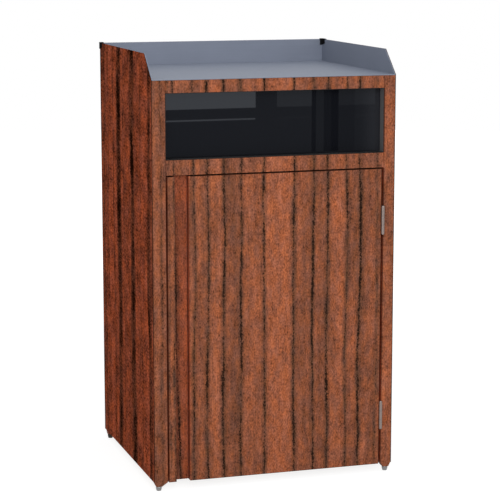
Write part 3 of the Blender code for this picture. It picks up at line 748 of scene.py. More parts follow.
def face_laminate(name, edges, painted_flank_tint):
    """The laminate of the front, with dark banding along its edges, partly its core and partly painted shade
    beside the gaps, and a tint on its flanks, which is painted shade on the stiles and rails and painted
    light on the door.
    """
    grain = Grain(FRONT_LINES, "X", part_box("door_panel")[0].y)
    return laminate(name, grain, edges, painted_flank_tint=painted_flank_tint, edge=looks("laminate").banding)


# Stiles and rails take the side tint, which is painted shade, on their flanks
@functools.cache
def stile_laminate():
    return face_laminate("stile_laminate", stile_banding_and_gap_shade, looks("laminate").side_shade_tint)


@functools.cache
def rail_laminate():
    return face_laminate("rail_laminate", level_edges, looks("laminate").side_shade_tint)


# The door's flanks take painted light
@functools.cache
def door_laminate():
    return face_laminate("door_laminate", door_banding_and_gap_shade, looks("laminate").flank_light_tint)


@functools.cache
def back_laminate():
    grain = Grain(FRONT_LINES, "X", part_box("back_laminate")[1].y)
    return laminate("back_laminate", grain, rim_round_y)


@functools.cache
def side_laminate():
    # The side tint is painted shade: it draws the sides darker and redder than the front
    tint = looks("laminate").side_shade_tint
    return laminate("side_laminate", Grain(SIDE_LINES, "Y"), rim_round_x, tint, gloss=0.0)


@functools.cache
def groove_laminate():
    # The groove's tint is painted shade of the recess
    grain = Grain(GROOVE_LINES, "X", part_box("door_groove_liner")[0].y, GROOVE_LEAN)
    return laminate("groove_laminate", grain, tint=looks("laminate").groove_shade_tint)


def brushed_metal(name, tint, grain, roughness, metallic=1.0, gloss=0.5):
    """Metal with fine drawn lines, whose noise has the scale that grain gives along each axis."""
    graph = new_finish(name)
    spot = graph.spot()
    lines = graph.noise(spot, grain, detail=3.0)
    cloud = graph.noise(spot, scale=9.0, detail=3.0)
    scuff = graph.noise(spot, scale=(55.0, 42.0, 48.0), detail=4.0).rise(*SCUFF_RANGE)
    return graph.surface(
        {
            "Base Color": graph.tinted(tint, 1.0 + 0.24 * lines + 0.16 * cloud),
            "Metallic": metallic,
            "Specular IOR Level": gloss,
            "Roughness": roughness + lines * 0.22 + cloud * 0.12 + scuff * 0.08,
            "Normal": graph.bump(lines, METAL_DEPTH),
        }
    )


@functools.cache
def deck_steel():
    """Grey satin coat on steel sheet, set darker than bare as painted shade of the trays that stand on the
    deck.
    """
    tint = looks("metal").deck
    return brushed_metal("deck_steel", tint, (5.0, 900.0, 900.0), roughness=0.50, metallic=0.2, gloss=0.04)


@functools.cache
def door_sheet_steel():
    return brushed_metal("door_sheet_steel", looks("metal").sheet, (900.0, 900.0, 5.0), roughness=0.45)


@functools.cache
def zinc_plate():
    return brushed_metal("zinc_plate", looks("metal").zinc, 260.0, roughness=0.38)


@functools.cache
def foot_metal():
    return brushed_metal("foot_metal", looks("metal").foot, (300.0, 300.0, 900.0), roughness=0.44)


@functools.cache
# The back feet's dark metal is painted shade
def dark_foot_metal():
    tint = looks("metal").shaded_back_foot
    return brushed_metal("dark_foot_metal", tint, (300.0, 300.0, 900.0), roughness=0.5, gloss=0.1)


@functools.cache
def drawn_aluminium():
    return brushed_metal("drawn_aluminium", looks("metal").aluminium, (4.0, 1200.0, 1200.0), roughness=0.36)


@functools.cache
def smoked_acrylic():
    """Dark glossy sheet with faint hairline scratches, a little dust, and painted light that draws it lighter
    towards its right end.
    """
    look = looks("plastic")
    graph = new_finish("smoked_acrylic")
    spot = graph.spot()
    hairline = graph.noise(spot, scale=(70.0, 70.0, 1500.0)).rise(*SCRATCH_RANGE)
    dust = graph.noise(spot, scale=420.0).rise(*DUST_RANGE)
    smear = graph.noise(spot, scale=(5.0, 5.0, 9.0))
    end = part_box("flap_panel")[1].x
    # Painted light: lighter towards the flap's right end, beside the jamb
    lit_end = graph.parts(spot)[0].rise(end - END_LIGHT_START, end + END_LIGHT_FULL)
    lit_end_colour = graph.blend(lit_end, look.acrylic, look.painted_end_light)
    return graph.surface(
        {
            "Base Color": graph.blend(dust * 0.25, lit_end_colour, look.dust),
            "Roughness": 0.010 + hairline * 0.02 + smear * 0.008,
            "Specular IOR Level": look.acrylic_gloss,
            "IOR": ACRYLIC_IOR,
        }
    )


def moulded(name, tint, roughness, grain=900.0, depth=MOULD_DEPTH, gloss=0.3):
    """Plastic or rubber with a fine moulded grain and slight clouding."""
    graph = new_finish(name)
    spot = graph.spot()
    pebble = graph.noise(spot, grain)
    cloud = graph.noise(spot, scale=14.0, detail=3.0)
    return graph.surface(
        {
            "Base Color": graph.tinted(tint, 1.0 + 0.3 * cloud + 0.3 * pebble),
            "Roughness": roughness + cloud * 0.2,
            "Specular IOR Level": gloss,
            "Normal": graph.bump(pebble, depth),
        }
    )


@functools.cache
def black_plastic():
    return moulded("black_plastic", looks("plastic").black, roughness=0.55, gloss=0.0)


@functools.cache
def nylon():
    return moulded("nylon", looks("plastic").nylon, roughness=0.5)


@functools.cache
def rubber():
    return moulded("rubber", looks("plastic").rubber, roughness=0.8, grain=1400.0)


@functools.cache
def bin_plastic():
    return moulded("bin_plastic", looks("plastic").bin, roughness=0.52, grain=520.0, depth=BIN_DEPTH)


@functools.cache
def lining_band():
    """Charcoal plastic, with painted shade that draws its top and bottom strips darker than its jambs."""
    look = looks("plastic")
    graph = new_finish("lining_band")
    # Painted shade: faces that don't look along X, the top and bottom strips, go towards black
    shaded_strips = 1.0 - abs(graph.parts(graph.spot("Normal"))[0]).rise(*LINING_SHADE_TURN)
    grime = graph.noise(graph.spot(), scale=30.0, detail=3.0)
    return graph.surface(
        {
            "Base Color": graph.blend(shaded_strips * 0.9 + grime * 0.3, look.lining, look.black),
            "Roughness": 0.55 + grime * 0.1,
            "Specular IOR Level": 0.1,
        }
    )


@functools.cache
def chip_board():
    """Pressed board with chips of several tones."""
    look = looks("plastic")
    graph = new_finish("chip_board")
    spot = graph.spot()
    cells = {"Vector": spot, "Scale": 260.0, "Randomness": 1.0}
    chips = graph.add("ShaderNodeTexVoronoi", {"feature": "F1"}, cells, "Color")
    tone = graph.add("ShaderNodeSeparateColor", None, (chips,), 0)
    dust = graph.noise(spot, scale=700.0)
    return graph.surface(
        {
            "Base Color": graph.blend((tone * 0.75 + dust).rise(*CHIP_RANGE), look.board, look.chip),
            "Roughness": 0.72 + (tone - 0.5) * 0.15,
            "Normal": graph.bump(tone + dust, CHIP_DEPTH, strength=0.5),
        }
    )


# Modelling


def clear_bench():
    """Leaves edit mode and deselects everything."""
    if bpy.context.mode != "OBJECT":
        bpy.ops.object.mode_set(mode="OBJECT")
    bpy.ops.object.select_all(action="DESELECT")


def is_sharp(edge):
    """Whether two faces meet at an edge, and at an angle."""
    return edge.is_manifold and edge.calc_face_angle() > SHARP_ANGLE


def runs_along(edge, axis):
    """Whether an edge runs along X, Y or Z."""
    first, second = edge.verts
    number = "XYZ".index(axis)
    return abs(second.co[number] - first.co[number]) > STRAIGHT * edge.calc_length()


def anywhere(at):
    """A test that every place passes."""
    return True


def sharp_edges(where):
    """A test of edges that are sharp, with both ends in places that pass a test."""
    return lambda edge: is_sharp(edge) and all(where(vert.co) for vert in edge.verts)


def edges_along(axis, where=anywhere):
    """A test of edges that run along X, Y or Z, with both ends in places that pass a test."""
    return lambda edge: runs_along(edge, axis) and all(where(vert.co) for vert in edge.verts)


class Blank:
    """A piece on the bench, shaped in edit mode with Blender's own operators."""

    def __init__(self, name):
        self.piece = bpy.context.active_object
        self.piece.name = name
        self.piece.data.name = name
        bpy.ops.object.transform_apply(location=True, rotation=True, scale=True)

    @classmethod
    def box(cls, name, low, high):
        """A box between its lowest and highest corners."""
        low = Vector(low)
        high = Vector(high)
        clear_bench()
        bpy.ops.mesh.primitive_cube_add(size=1.0, location=(low + high) / 2, scale=high - low)
        return cls(name)

    @classmethod
    def bar(cls, name, centre, radius, span, axis="Z"):
        """A round bar along an axis."""
        clear_bench()
        bpy.ops.mesh.primitive_cylinder_add(
            vertices=ROUND_SIDES, radius=radius, depth=span, location=centre, rotation=AXIS_TURNS[axis]
        )
        return cls(name)

    @classmethod
    def turned(cls, name, rings):
        """A round piece about Z, drawn up ring by ring from a disc. A ring is a radius and a height."""
        clear_bench()
        radius, height = rings[0]
        bpy.ops.mesh.primitive_circle_add(
            vertices=ROUND_SIDES, radius=radius, fill_type="NGON", location=(0, 0, height)
        )
        blank = cls(name).take()
        bpy.ops.mesh.select_all(action="SELECT")
        for (old_radius, old_height), (new_radius, new_height) in zip(rings, rings[1:]):
            factor = new_radius / old_radius
            blank.extrude((0, 0, new_height - old_height)).resize((factor, factor, 1), (0, 0, new_height))
        return blank.face_out()

    @classmethod
    def copy_of(cls, name, node):
        """A copy of a node of the frame, with its triangles merged and its flats made whole."""
        clear_bench()
        piece = bpy.data.objects.new(name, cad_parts[node].data.copy())
        bpy.context.scene.collection.objects.link(piece)
        piece.select_set(True)
        bpy.context.view_layer.objects.active = piece
        blank = cls(name).take()
        bpy.ops.mesh.select_all(action="SELECT")
        bpy.ops.mesh.remove_doubles(threshold=MERGE)
        bpy.ops.mesh.dissolve_limited(angle_limit=FLAT_ANGLE)
        return blank

    def take(self):
        """Puts the piece on the bench in edit mode, with nothing else there."""
        if bpy.context.mode != "EDIT_MESH" or bpy.context.active_object is not self.piece:
            clear_bench()
            self.piece.select_set(True)
            bpy.context.view_layer.objects.active = self.piece
            bpy.ops.object.mode_set(mode="EDIT")
        return self

    def pick(self, kind, test):
        """Selects only the vertices, edges or faces that pass the test."""
        self.take()
        bpy.ops.mesh.select_mode(type=kind)
        bpy.ops.mesh.select_all(action="DESELECT")
        shape = bmesh.from_edit_mesh(self.piece.data)
        group = {"VERT": shape.verts, "EDGE": shape.edges, "FACE": shape.faces}[kind]
        chosen = [item for item in group if test(item)]
        if not chosen:
            raise RuntimeError(f"{self.piece.name}: nothing to pick")
        for item in chosen:
            item.select_set(True)
        shape.select_flush_mode()
        bmesh.update_edit_mesh(self.piece.data)
        return self

    def pick_points(self, test):
        """Selects only the vertices whose place passes the test."""
        return self.pick("VERT", lambda vert: test(vert.co))

    def facing(self, direction):
        """Selects the faces that look along a direction."""
        direction = Vector(direction)
        return self.pick("FACE", lambda face: face.normal.dot(direction) > FACING)

    def ease(self, width, steps=2, test=is_sharp):
        """Rounds the edges that pass the test."""
        self.pick("EDGE", test)
        bpy.ops.mesh.bevel(offset=width, segments=steps, profile=0.5, affect="EDGES", clamp_overlap=True)
        return self

    def extrude(self, move):
        """Draws what is picked out of the piece."""
        bpy.ops.mesh.extrude_region_move(TRANSFORM_OT_translate={"value": move})
        return self

    def extrude_edges(self, move):
        """Draws new faces out of the edges that are picked."""
        bpy.ops.mesh.extrude_edges_move(TRANSFORM_OT_translate={"value": move})
        return self

    def move(self, value):
        """Moves what is picked."""
        bpy.ops.transform.translate(value=value)
        return self

    def resize(self, value, centre):
        """Resizes what is picked about a centre."""
        bpy.ops.transform.resize(value=value, center_override=centre)
        return self

    def delete(self, kind):
        """Deletes what is picked."""
        bpy.ops.mesh.delete(type=kind)
        return self

    def bisect(self, point, normal, clear=False):
        """Cuts along a plane, and may throw away what lies on the side that the normal looks to."""
        self.take()
        bpy.ops.mesh.select_all(action="SELECT")
        bpy.ops.mesh.bisect(plane_co=point, plane_no=normal, clear_outer=clear)
        return self

    def face_out(self):
        """Turns all faces the same way, which is outwards on a closed piece."""
        self.take()
        bpy.ops.mesh.select_all(action="SELECT")
        bpy.ops.mesh.normals_make_consistent(inside=False)
        return self

    def modifier(self, kind, **settings):
        """Adds a modifier and applies it."""
        self.take()
        bpy.ops.object.mode_set(mode="OBJECT")
        bpy.ops.object.modifier_add(type=kind)
        change = self.piece.modifiers[-1]
        for name, value in settings.items():
            setattr(change, name, value)
        bpy.ops.object.modifier_apply(modifier=change.name)
        return self

    def thicken(self, wall):
        """Gives an open shell a wall, on the side that its faces look away from."""
        return self.modifier("SOLIDIFY", thickness=wall, offset=-1.0, use_even_offset=True)

    def join(self, tool):
        return self.combine(tool, "UNION")

    def cut(self, tool):
        return self.combine(tool, "DIFFERENCE")

    def combine(self, tool, operation):
        """Joins a tool on, or cuts it away, and throws the tool out."""
        clear_bench()
        self.modifier("BOOLEAN", operation=operation, object=tool.piece)
        bpy.data.objects.remove(tool.piece, do_unlink=True)
        return self

    def smooth(self):
        """Shades the round parts smooth and gives the piece."""
        self.take()
        bpy.ops.object.mode_set(mode="OBJECT")
        bpy.ops.object.shade_smooth_by_angle(angle=SMOOTH_ANGLE)
        return self.piece

    def dress(self, finish, body, slot, *nodes):
        """Smooths the finished piece and dresses it."""
        self.smooth()
        self.modifier("WEIGHTED_NORMAL", keep_sharp=True)
        dress_piece(self.piece, finish, body, slot, *nodes)


def dress_piece(piece, finish, body, slot, *nodes):
    """Gives a piece its finish and its body, and hides the nodes that it stands for. The slot is not used."""
    piece.data.materials.clear()
    piece.data.materials.append(finish)
    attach(piece, body)
    if nodes:
        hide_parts(*nodes)


def copy_piece(source, name, matrix):
    """A copy of a finished piece, with its own mesh in another place."""
    mesh = source.data.copy()
    mesh.name = name
    mesh.transform(matrix)
    piece = bpy.data.objects.new(name, mesh)
    bpy.context.scene.collection.objects.link(piece)
    return piece


def recast(node, suffix, finish, body, slot):
    """Sets a merged and smoothed copy of a node of the frame in its place."""
    Blank.copy_of(node + suffix, node).dress(finish, body, slot, node)


def coat(finish, *nodes):
    """Gives nodes of the frame a finish."""
    for node in nodes:
        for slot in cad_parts[node].material_slots:
            slot.material = finish


def centre_of(node):
    low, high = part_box(node)
    return (low + high) / 2


def drill(blank, node, slack):
    """Cuts the upright round hole that a node of the frame sits in."""
    low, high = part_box(node)
    radius = (high.x - low.x) / 2 + slack
    centre = (low + high) / 2
    centre.z -= slack
    blank.cut(Blank.bar(blank.piece.name + "_drill", centre, radius, high.z - low.z + 2 * slack))


# Steps that dress the frame


class STATION_OT_cladding(Operator):
    """Finishes the laminate sheets and the boards behind them"""

    bl_idname = "station.cladding"
    bl_label = "Cladding"

    def execute(self, context):
        coat(side_laminate(), "side_laminate_left", "side_laminate_right")
        coat(back_laminate(), "back_laminate")
        coat(chip_board(), "bottom_panel", "back_core", "side_core_left", "side_core_right")
        return {"FINISHED"}


class STATION_OT_face_frame(Operator):
    """Makes the stiles with their tapered ends, the rails and the lining of the window"""

    bl_idname = "station.face_frame"
    bl_label = "Face Frame"

    def execute(self, context):
        sizes = context.scene.station_sizes
        for side in SIDES:
            self.stile(sizes, side)
        for rail in RAILS:
            board = Blank.box(rail + "_board", *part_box(rail)).ease(sizes.eased_edge)
            board.dress(rail_laminate(), "cabinet", "laminate", rail)
        self.lining(sizes)
        return {"FINISHED"}

    def stile(self, sizes, side):
        """A board whose lower end tapers to the foot, with its inner front edge banded."""
        node = "front_stile_" + side
        low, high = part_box(node)
        seat = centre_of("foot_front_" + side)
        seat.z = low.z
        low.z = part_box("bottom_panel")[0].z
        board = Blank.box(f"stile_{side}_board", low, high)
        end = (low + high) / 2
        end.z = seat.z
        width = high - low
        board.facing((0, 0, -1)).extrude((0, 0, seat.z - low.z))
        board.resize((sizes.foot_tip / width.x, sizes.foot_tip / width.y, 1), end).move(seat - end)

        def is_inner_front(at):
            return abs(at.x) < abs(end.x) and at.y < end.y

        board.ease(sizes.banding, steps=BAND_STEPS, test=edges_along("Z", is_inner_front))
        board.ease(sizes.eased_edge)
        drill(board, "foot_insert_front_" + side, sizes.hairline)
        board.dress(stile_laminate(), "cabinet", "laminate", node)

    def lining(self, sizes):
        """A dark band round the inside of the window."""
        top_low, top_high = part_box("top_rail")
        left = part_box("front_stile_left")[1].x
        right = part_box("front_stile_right")[0].x
        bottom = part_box("middle_rail")[1].z
        low = (left, top_low.y + sizes.lining_back, bottom)
        band = Blank.box("window_lining", low, (right, top_high.y, top_low.z))
        band.pick("FACE", lambda face: abs(face.normal.y) > FACING).delete("FACE")
        band.thicken(sizes.lining)
        band.dress(lining_band(), "cabinet", "black_plastic")


class STATION_OT_door(Operator):
    """Makes the door's panel and pull strip, and finishes its liner and back sheet"""

    bl_idname = "station.door"
    bl_label = "Door"

    def execute(self, context):
        sizes = context.scene.station_sizes
        panel = Blank.box("door_panel_board", *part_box("door_panel"))
        self.finish_board(sizes, panel, "door_panel")
        strip = Blank.box("door_pull_board", *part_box("door_pull_strip"))
        middle = centre_of("door_pull_strip")
        strip.pick_points(lambda at: at.x > middle.x and at.y > middle.y).move((-sizes.undercut, 0, 0))
        self.finish_board(sizes, strip, "door_pull_strip")
        coat(groove_laminate(), "door_groove_liner")
        coat(door_sheet_steel(), "door_back_sheet")
        return {"FINISHED"}

    def finish_board(self, sizes, board, node):
        """Rounds the edges of a board's front more than the others, and dresses it."""
        middle = centre_of(node).y
        board.ease(sizes.banding, steps=BAND_STEPS, test=sharp_edges(lambda at: at.y < middle))
        board.ease(sizes.eased_edge)
        board.dress(door_laminate(), "door", "laminate", node)


class STATION_OT_deck(Operator):
    """Folds the deck's sheet, with upstands that line the gallery"""

    bl_idname = "station.deck"
    bl_label = "Deck"

    def execute(self, context):
        sizes = context.scene.station_sizes
        low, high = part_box("deck_pan")
        tray = Blank.box("deck_tray", low, high)
        top = low.z + sizes.sheet
        # The gallery's front ends slope back from the deck's front edge
        tray.bisect((0, low.y, top), (0, top - high.z, sizes.setback), clear=True)
        tray.pick("FACE", lambda face: face.normal.z > FACING or face.normal.y < -FACING).delete("FACE")
        tray.ease(sizes.fold, steps=5)
        tray.thicken(sizes.sheet)
        tray.dress(deck_steel(), "cabinet", "satin_steel", "deck_pan")
        return {"FINISHED"}


class STATION_OT_corner_caps(Operator):
    """Lengthens and rounds the caps on the gallery's rear corners"""

    bl_idname = "station.corner_caps"
    bl_label = "Corner Caps"

    def execute(self, context):
        sizes = context.scene.station_sizes
        for side in SIDES:
            node = "corner_cap_" + side
            low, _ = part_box(node)
            front = low.y + MERGE
            bottom = low.z + MERGE
            cap = Blank.copy_of(node + "_moulding", node)
            cap.pick_points(lambda at: at.z < bottom and at.y > front).move((0, 0, -sizes.cap_tail))
            cap.pick_points(lambda at: at.y < front).move((0, -sizes.cap_reach, 0))
            cap.ease(sizes.fine_edge, steps=3)
            cap.dress(black_plastic(), "cabinet", "black_plastic", node)
        return {"FINISHED"}


class STATION_OT_hinges(Operator):
    """Makes the barrel hinges: leaves with their knuckles, and pins with round crowns"""

    bl_idname = "station.hinges"
    bl_label = "Hinges"

    def execute(self, context):
        sizes = context.scene.station_sizes
        door_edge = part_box("door_panel")[1].x + sizes.hairline
        stile_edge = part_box("front_stile_right")[0].x - sizes.hairline
        for level in LEVELS:
            name = "hinge_" + level
            low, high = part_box(name + "_frame_leaf")
            third = (high.z - low.z) / 3
            joint = sizes.hairline / 2
            lower = (low.z, low.z + third - joint)
            middle = (low.z + third + joint, high.z - third - joint)
            upper = (high.z - third + joint, high.z)
            self.leaf(sizes, name + "_frame_leaf", "cabinet", stile_edge - sizes.leaf, (lower, upper))
            self.leaf(sizes, name + "_door_leaf", "door", door_edge, (middle,))
            self.pin(sizes, name + "_pin", high.z - low.z)
        return {"FINISHED"}

    def leaf(self, sizes, node, body, x, knuckles):
        """A plate with round free corners, joined to its knuckles by tabs."""
        low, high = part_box(node)
        axis = centre_of(node.rsplit("_", 2)[0] + "_pin")
        low.x = x
        high.x = x + sizes.leaf
        low.y = axis.y + sizes.barrel + sizes.hairline
        free = axis.y + 2 * sizes.barrel
        plate = Blank.box(node + "_plate", low, high)
        plate.ease(sizes.leaf_round, steps=5, test=edges_along("X", lambda at: at.y > free))
        for number, (bottom, top) in enumerate(knuckles):
            name = f"{node}_knuckle_{number}"
            tab = Blank.box(name + "_tab", (low.x, axis.y + sizes.barrel / 2, bottom), (high.x, low.y, top))
            barrel = Blank.bar(name, (axis.x, axis.y, (bottom + top) / 2), sizes.barrel, top - bottom)
            barrel.ease(sizes.hairline)
            plate.join(barrel)
            tab.facing((0, 1, 0)).move((0, sizes.leaf, 0))
            plate.join(tab)
        plate.dress(zinc_plate(), body, "hardware", node)

    def pin(self, sizes, node, span):
        """A pin with a domed crown at each end."""
        low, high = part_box(node)
        axis = (low + high) / 2
        crown = (high.z - low.z - span) / 2
        steps = 6
        turns = [math.pi / 2 * step / steps for step in range(1, steps)]
        dome = [(sizes.barrel * math.sin(turn), -crown * math.cos(turn)) for turn in turns]
        dome.append((sizes.barrel, 0.0))
        neck = sizes.barrel / 2
        rings = [(radius, height - span / 2) for radius, height in dome]
        rings += [(neck, -span / 2), (neck, span / 2)]
        rings += [(radius, span / 2 - height) for radius, height in reversed(dome)]
        pin = Blank.turned(node + "_turned", rings)
        pin.pick_points(anywhere).move(axis)
        pin.dress(zinc_plate(), "cabinet", "hardware", node)


class STATION_OT_screws(Operator):
    """Makes one cross-head screw and sets a copy in each place"""

    bl_idname = "station.screws"
    bl_label = "Screws"

    def execute(self, context):
        screw = self.screw(context.scene.station_sizes)
        for level in LEVELS:
            for row in ROWS:
                self.set_screw(screw, f"hinge_{level}_frame_screw_{row}", "cabinet", (-1, 0, 0))
                self.set_screw(screw, f"hinge_{level}_door_screw_{row}", "door", (1, 0, 0))
        for row in ROWS:
            self.set_screw(screw, "flap_bracket_screw_left_" + row, "cabinet", (1, 0, 0))
            self.set_screw(screw, "flap_bracket_screw_right_" + row, "cabinet", (-1, 0, 0))
        for side in SIDES:
            self.set_screw(screw, "catch_screw_" + side, "cabinet", (0, 1, 0))
        bpy.data.objects.remove(screw, do_unlink=True)
        return {"FINISHED"}

    def screw(self, sizes):
        """A countersunk screw below the origin, with its head facing up."""
        head = sizes.screw_head
        shank = sizes.screw_shank
        slope = head - shank
        low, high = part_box("hinge_upper_door_screw_top")
        end = low.x - high.x
        rings = [(shank * SCREW_POINT, end), (shank, end + shank), (shank, -slope)]
        rings += [(head, -slope * HEAD_EDGE), (head * HEAD_FACE, 0.0)]
        blank = Blank.turned("screw_pattern", rings)
        slot = head * RECESS_HALF_WIDTH
        reach = head * RECESS_REACH
        for x, y in ((reach, slot), (slot, reach)):
            cutter = Blank.box("screw_recess", (-x, -y, -slope), (x, y, slope))
            cutter.facing((0, 0, -1)).resize((RECESS_TAPER, RECESS_TAPER, 1), (0, 0, -slope))
            blank.cut(cutter)
        return blank.smooth()

    def set_screw(self, screw, node, body, direction):
        """Sets a copy of the screw in a node's place, with its head looking along a direction."""
        low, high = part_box(node)
        direction = Vector(direction)
        head = (low + high) / 2 + direction * (high - low) / 2
        turn = Vector((0, 0, 1)).rotation_difference(direction).to_matrix().to_4x4()
        piece = copy_piece(screw, node + "_cross_head", Matrix.Translation(head) @ turn)
        dress_piece(piece, zinc_plate(), body, "hardware", node)


class STATION_OT_flap(Operator):
    """Makes the flap's sheet, rod and bumpers, and smooths its hanger, bushes and brackets"""

    bl_idname = "station.flap"
    bl_label = "Push Flap"

    def execute(self, context):
        sizes = context.scene.station_sizes
        sheet = Blank.box("flap_sheet", *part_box("flap_panel")).ease(sizes.acrylic_edge)
        sheet.dress(smoked_acrylic(), "flap", "smoked_acrylic", "flap_panel")
        recast("flap_hanger", "_rail", drawn_aluminium(), "flap", "hanger_aluminium")
        low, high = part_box("flap_pivot_rod")
        rod = Blank.bar("flap_rod", (low + high) / 2, (high.z - low.z) / 2, high.x - low.x, "X")
        rod.ease(sizes.eased_edge)
        rod.dress(zinc_plate(), "flap", "hardware", "flap_pivot_rod")
        for side in SIDES:
            recast("flap_bracket_" + side, "_plate", zinc_plate(), "cabinet", "hardware")
            recast("flap_bush_" + side, "_moulding", nylon(), "cabinet", "nylon")
            self.bumper("flap_bumper_" + side)
        return {"FINISHED"}

    def bumper(self, node):
        """A rubber stop with its free end domed."""
        low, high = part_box(node)
        span = high.y - low.y
        seat = low.y + MERGE
        bumper = Blank.bar(node + "_dome", (low + high) / 2, (high.z - low.z) / 2, span, "Y")
        bumper.ease(span * BUMPER_DOME, steps=4, test=sharp_edges(lambda at: at.y > seat))
        bumper.dress(rubber(), "cabinet", "rubber", node)


class STATION_OT_catch(Operator):
    """Makes the magnetic catch, and the strike on the door"""

    bl_idname = "station.catch"
    bl_label = "Catch"

    def execute(self, context):
        sizes = context.scene.station_sizes
        body = Blank.box("catch_housing", *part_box("catch_body"))
        body.ease(sizes.catch_round, steps=3, test=edges_along("Z")).ease(sizes.eased_edge)
        body.dress(black_plastic(), "cabinet", "black_plastic", "catch_body")
        strike = Blank.box("catch_strike_plate", *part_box("catch_strike"))
        strike.ease(sizes.strike_round, steps=4, test=edges_along("Y")).ease(sizes.fine_edge)
        strike.dress(zinc_plate(), "door", "hardware", "catch_strike")
        return {"FINISHED"}


class STATION_OT_feet(Operator):
    """Makes one threaded levelling foot and copies it to each corner"""

    bl_idname = "station.feet"
    bl_label = "Levelling Feet"

    def execute(self, context):
        foot = self.foot(context.scene.station_sizes)
        for corner in CORNERS:
            node = "foot_" + corner
            seat = centre_of(node)
            seat.z = 0.0
            piece = copy_piece(foot, node + "_turned", Matrix.Translation(seat))
            # The back feet take the dark metal, which is painted shade
            finish = foot_metal() if corner.startswith("front") else dark_foot_metal()
            dress_piece(piece, finish, node, "hardware", node)
            recast("foot_insert_" + corner, "_sleeve", zinc_plate(), "cabinet", "hardware")
        bpy.data.objects.remove(foot, do_unlink=True)
        for side in SIDES:
            recast("foot_block_back_" + side, "_board", stile_laminate(), "cabinet", "laminate")
        return {"FINISHED"}

    def foot(self, sizes):
        """A bullet foot on the floor at the origin, with a grooved collar and a threaded stud."""
        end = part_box("foot_front_left")[1].z
        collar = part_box("front_stile_left")[0].z - sizes.hairline
        tip = FOOT_TIP_SHARE * sizes.foot
        nose = FOOT_NOSE_SHARE * sizes.foot
        steps = 5
        rings = [(tip, 0.0)]
        for step in range(1, steps + 1):
            turn = math.pi / 2 * step / steps
            rings.append((tip + nose * math.sin(turn), nose * (1 - math.cos(turn))))
        rings += [(sizes.foot * wide, collar * high) for wide, high in FOOT_OUTLINE]
        rings.append((sizes.stud, collar))
        turns = int((end - collar - sizes.thread_pitch) / sizes.thread_pitch)
        for number in range(turns):
            for depth, rise in THREAD_OUTLINE:
                radius = sizes.stud - depth * sizes.thread_depth
                rings.append((radius, collar + (number + rise) * sizes.thread_pitch))
        rings.append((sizes.stud - sizes.thread_depth, end))
        return Blank.turned("foot_pattern", rings).smooth()


class STATION_OT_bin(Operator):
    """Moulds the waste bin: tapered walls, a stacking step, a turned-down rim and two hand holes"""

    bl_idname = "station.bin"
    bl_label = "Waste Bin"

    def execute(self, context):
        sizes = context.scene.station_sizes
        low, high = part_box("waste_bin")
        rim = Vector((sizes.bin_rim, sizes.bin_rim, 0))
        wall = high - low - 2 * rim
        centre = (low + high) / 2
        floor = Vector((centre.x, centre.y, low.z))
        top = Vector((centre.x, centre.y, high.z))
        lean = 2 * sizes.bin_taper
        shell = Blank.box("bin_shell", low + rim, high - rim)
        shell.facing((0, 0, -1)).resize((1 - lean / wall.x, 1 - lean / wall.y, 1), floor)
        shell.ease(sizes.bin_corner, steps=10, test=edges_along("Z"))
        shell.facing((0, 0, 1)).delete("ONLY_FACE")
        shell.ease(sizes.bin_heel, steps=5, test=sharp_edges(lambda at: at.z < low.z + MERGE))
        self.step(sizes, shell, top)
        self.rim(sizes, shell, wall, top)
        # The rim turns over, so where its skirt faces out the walls face in, and are thickened outwards
        shell.face_out().thicken(sizes.bin_wall)
        for sign in (-1, 1):
            self.hand_hole(sizes, shell, top + Vector((sign * (wall.x / 2 - sizes.bin_wall), 0, 0)))
        shell.dress(bin_plastic(), "bin", "bin_plastic", "waste_bin")
        return {"FINISHED"}

    def step(self, sizes, shell, top):
        """Draws the walls in a little below a line, so that bins stack without jamming."""
        line = top.z - sizes.bin_step
        ledge = line - sizes.bin_wall
        for height in (line, ledge):
            shell.bisect((0, 0, height), (0, 0, 1))
        shell.pick_points(lambda at: at.z < ledge + MERGE)
        shell.resize((BIN_STEP_SHARE, BIN_STEP_SHARE, 1), (top.x, top.y, line))

    def rim(self, sizes, shell, wall, top):
        """Draws the walls' upper edge out and turns it down."""
        shell.pick("EDGE", lambda edge: edge.is_boundary).extrude_edges((0, 0, 0))
        shell.resize((1 + 2 * sizes.bin_rim / wall.x, 1 + 2 * sizes.bin_rim / wall.y, 1), top)
        shell.extrude_edges((0, 0, -sizes.bin_rim_drop))
        shell.ease(sizes.bin_rim_round, steps=3, test=sharp_edges(lambda at: at.z > top.z - MERGE))

    def hand_hole(self, sizes, shell, top):
        """Cuts a long hole with round ends through a side wall, below a point of its top."""
        half = Vector((HOLE_REACH * sizes.bin_wall, sizes.hole_length / 2, sizes.hole_height / 2))
        middle = top - Vector((0, 0, sizes.hole_drop))
        hole = Blank.box("bin_hand_hole", middle - half, middle + half)
        hole.ease(sizes.hole_round, steps=6, test=edges_along("X"))
        shell.cut(hole)


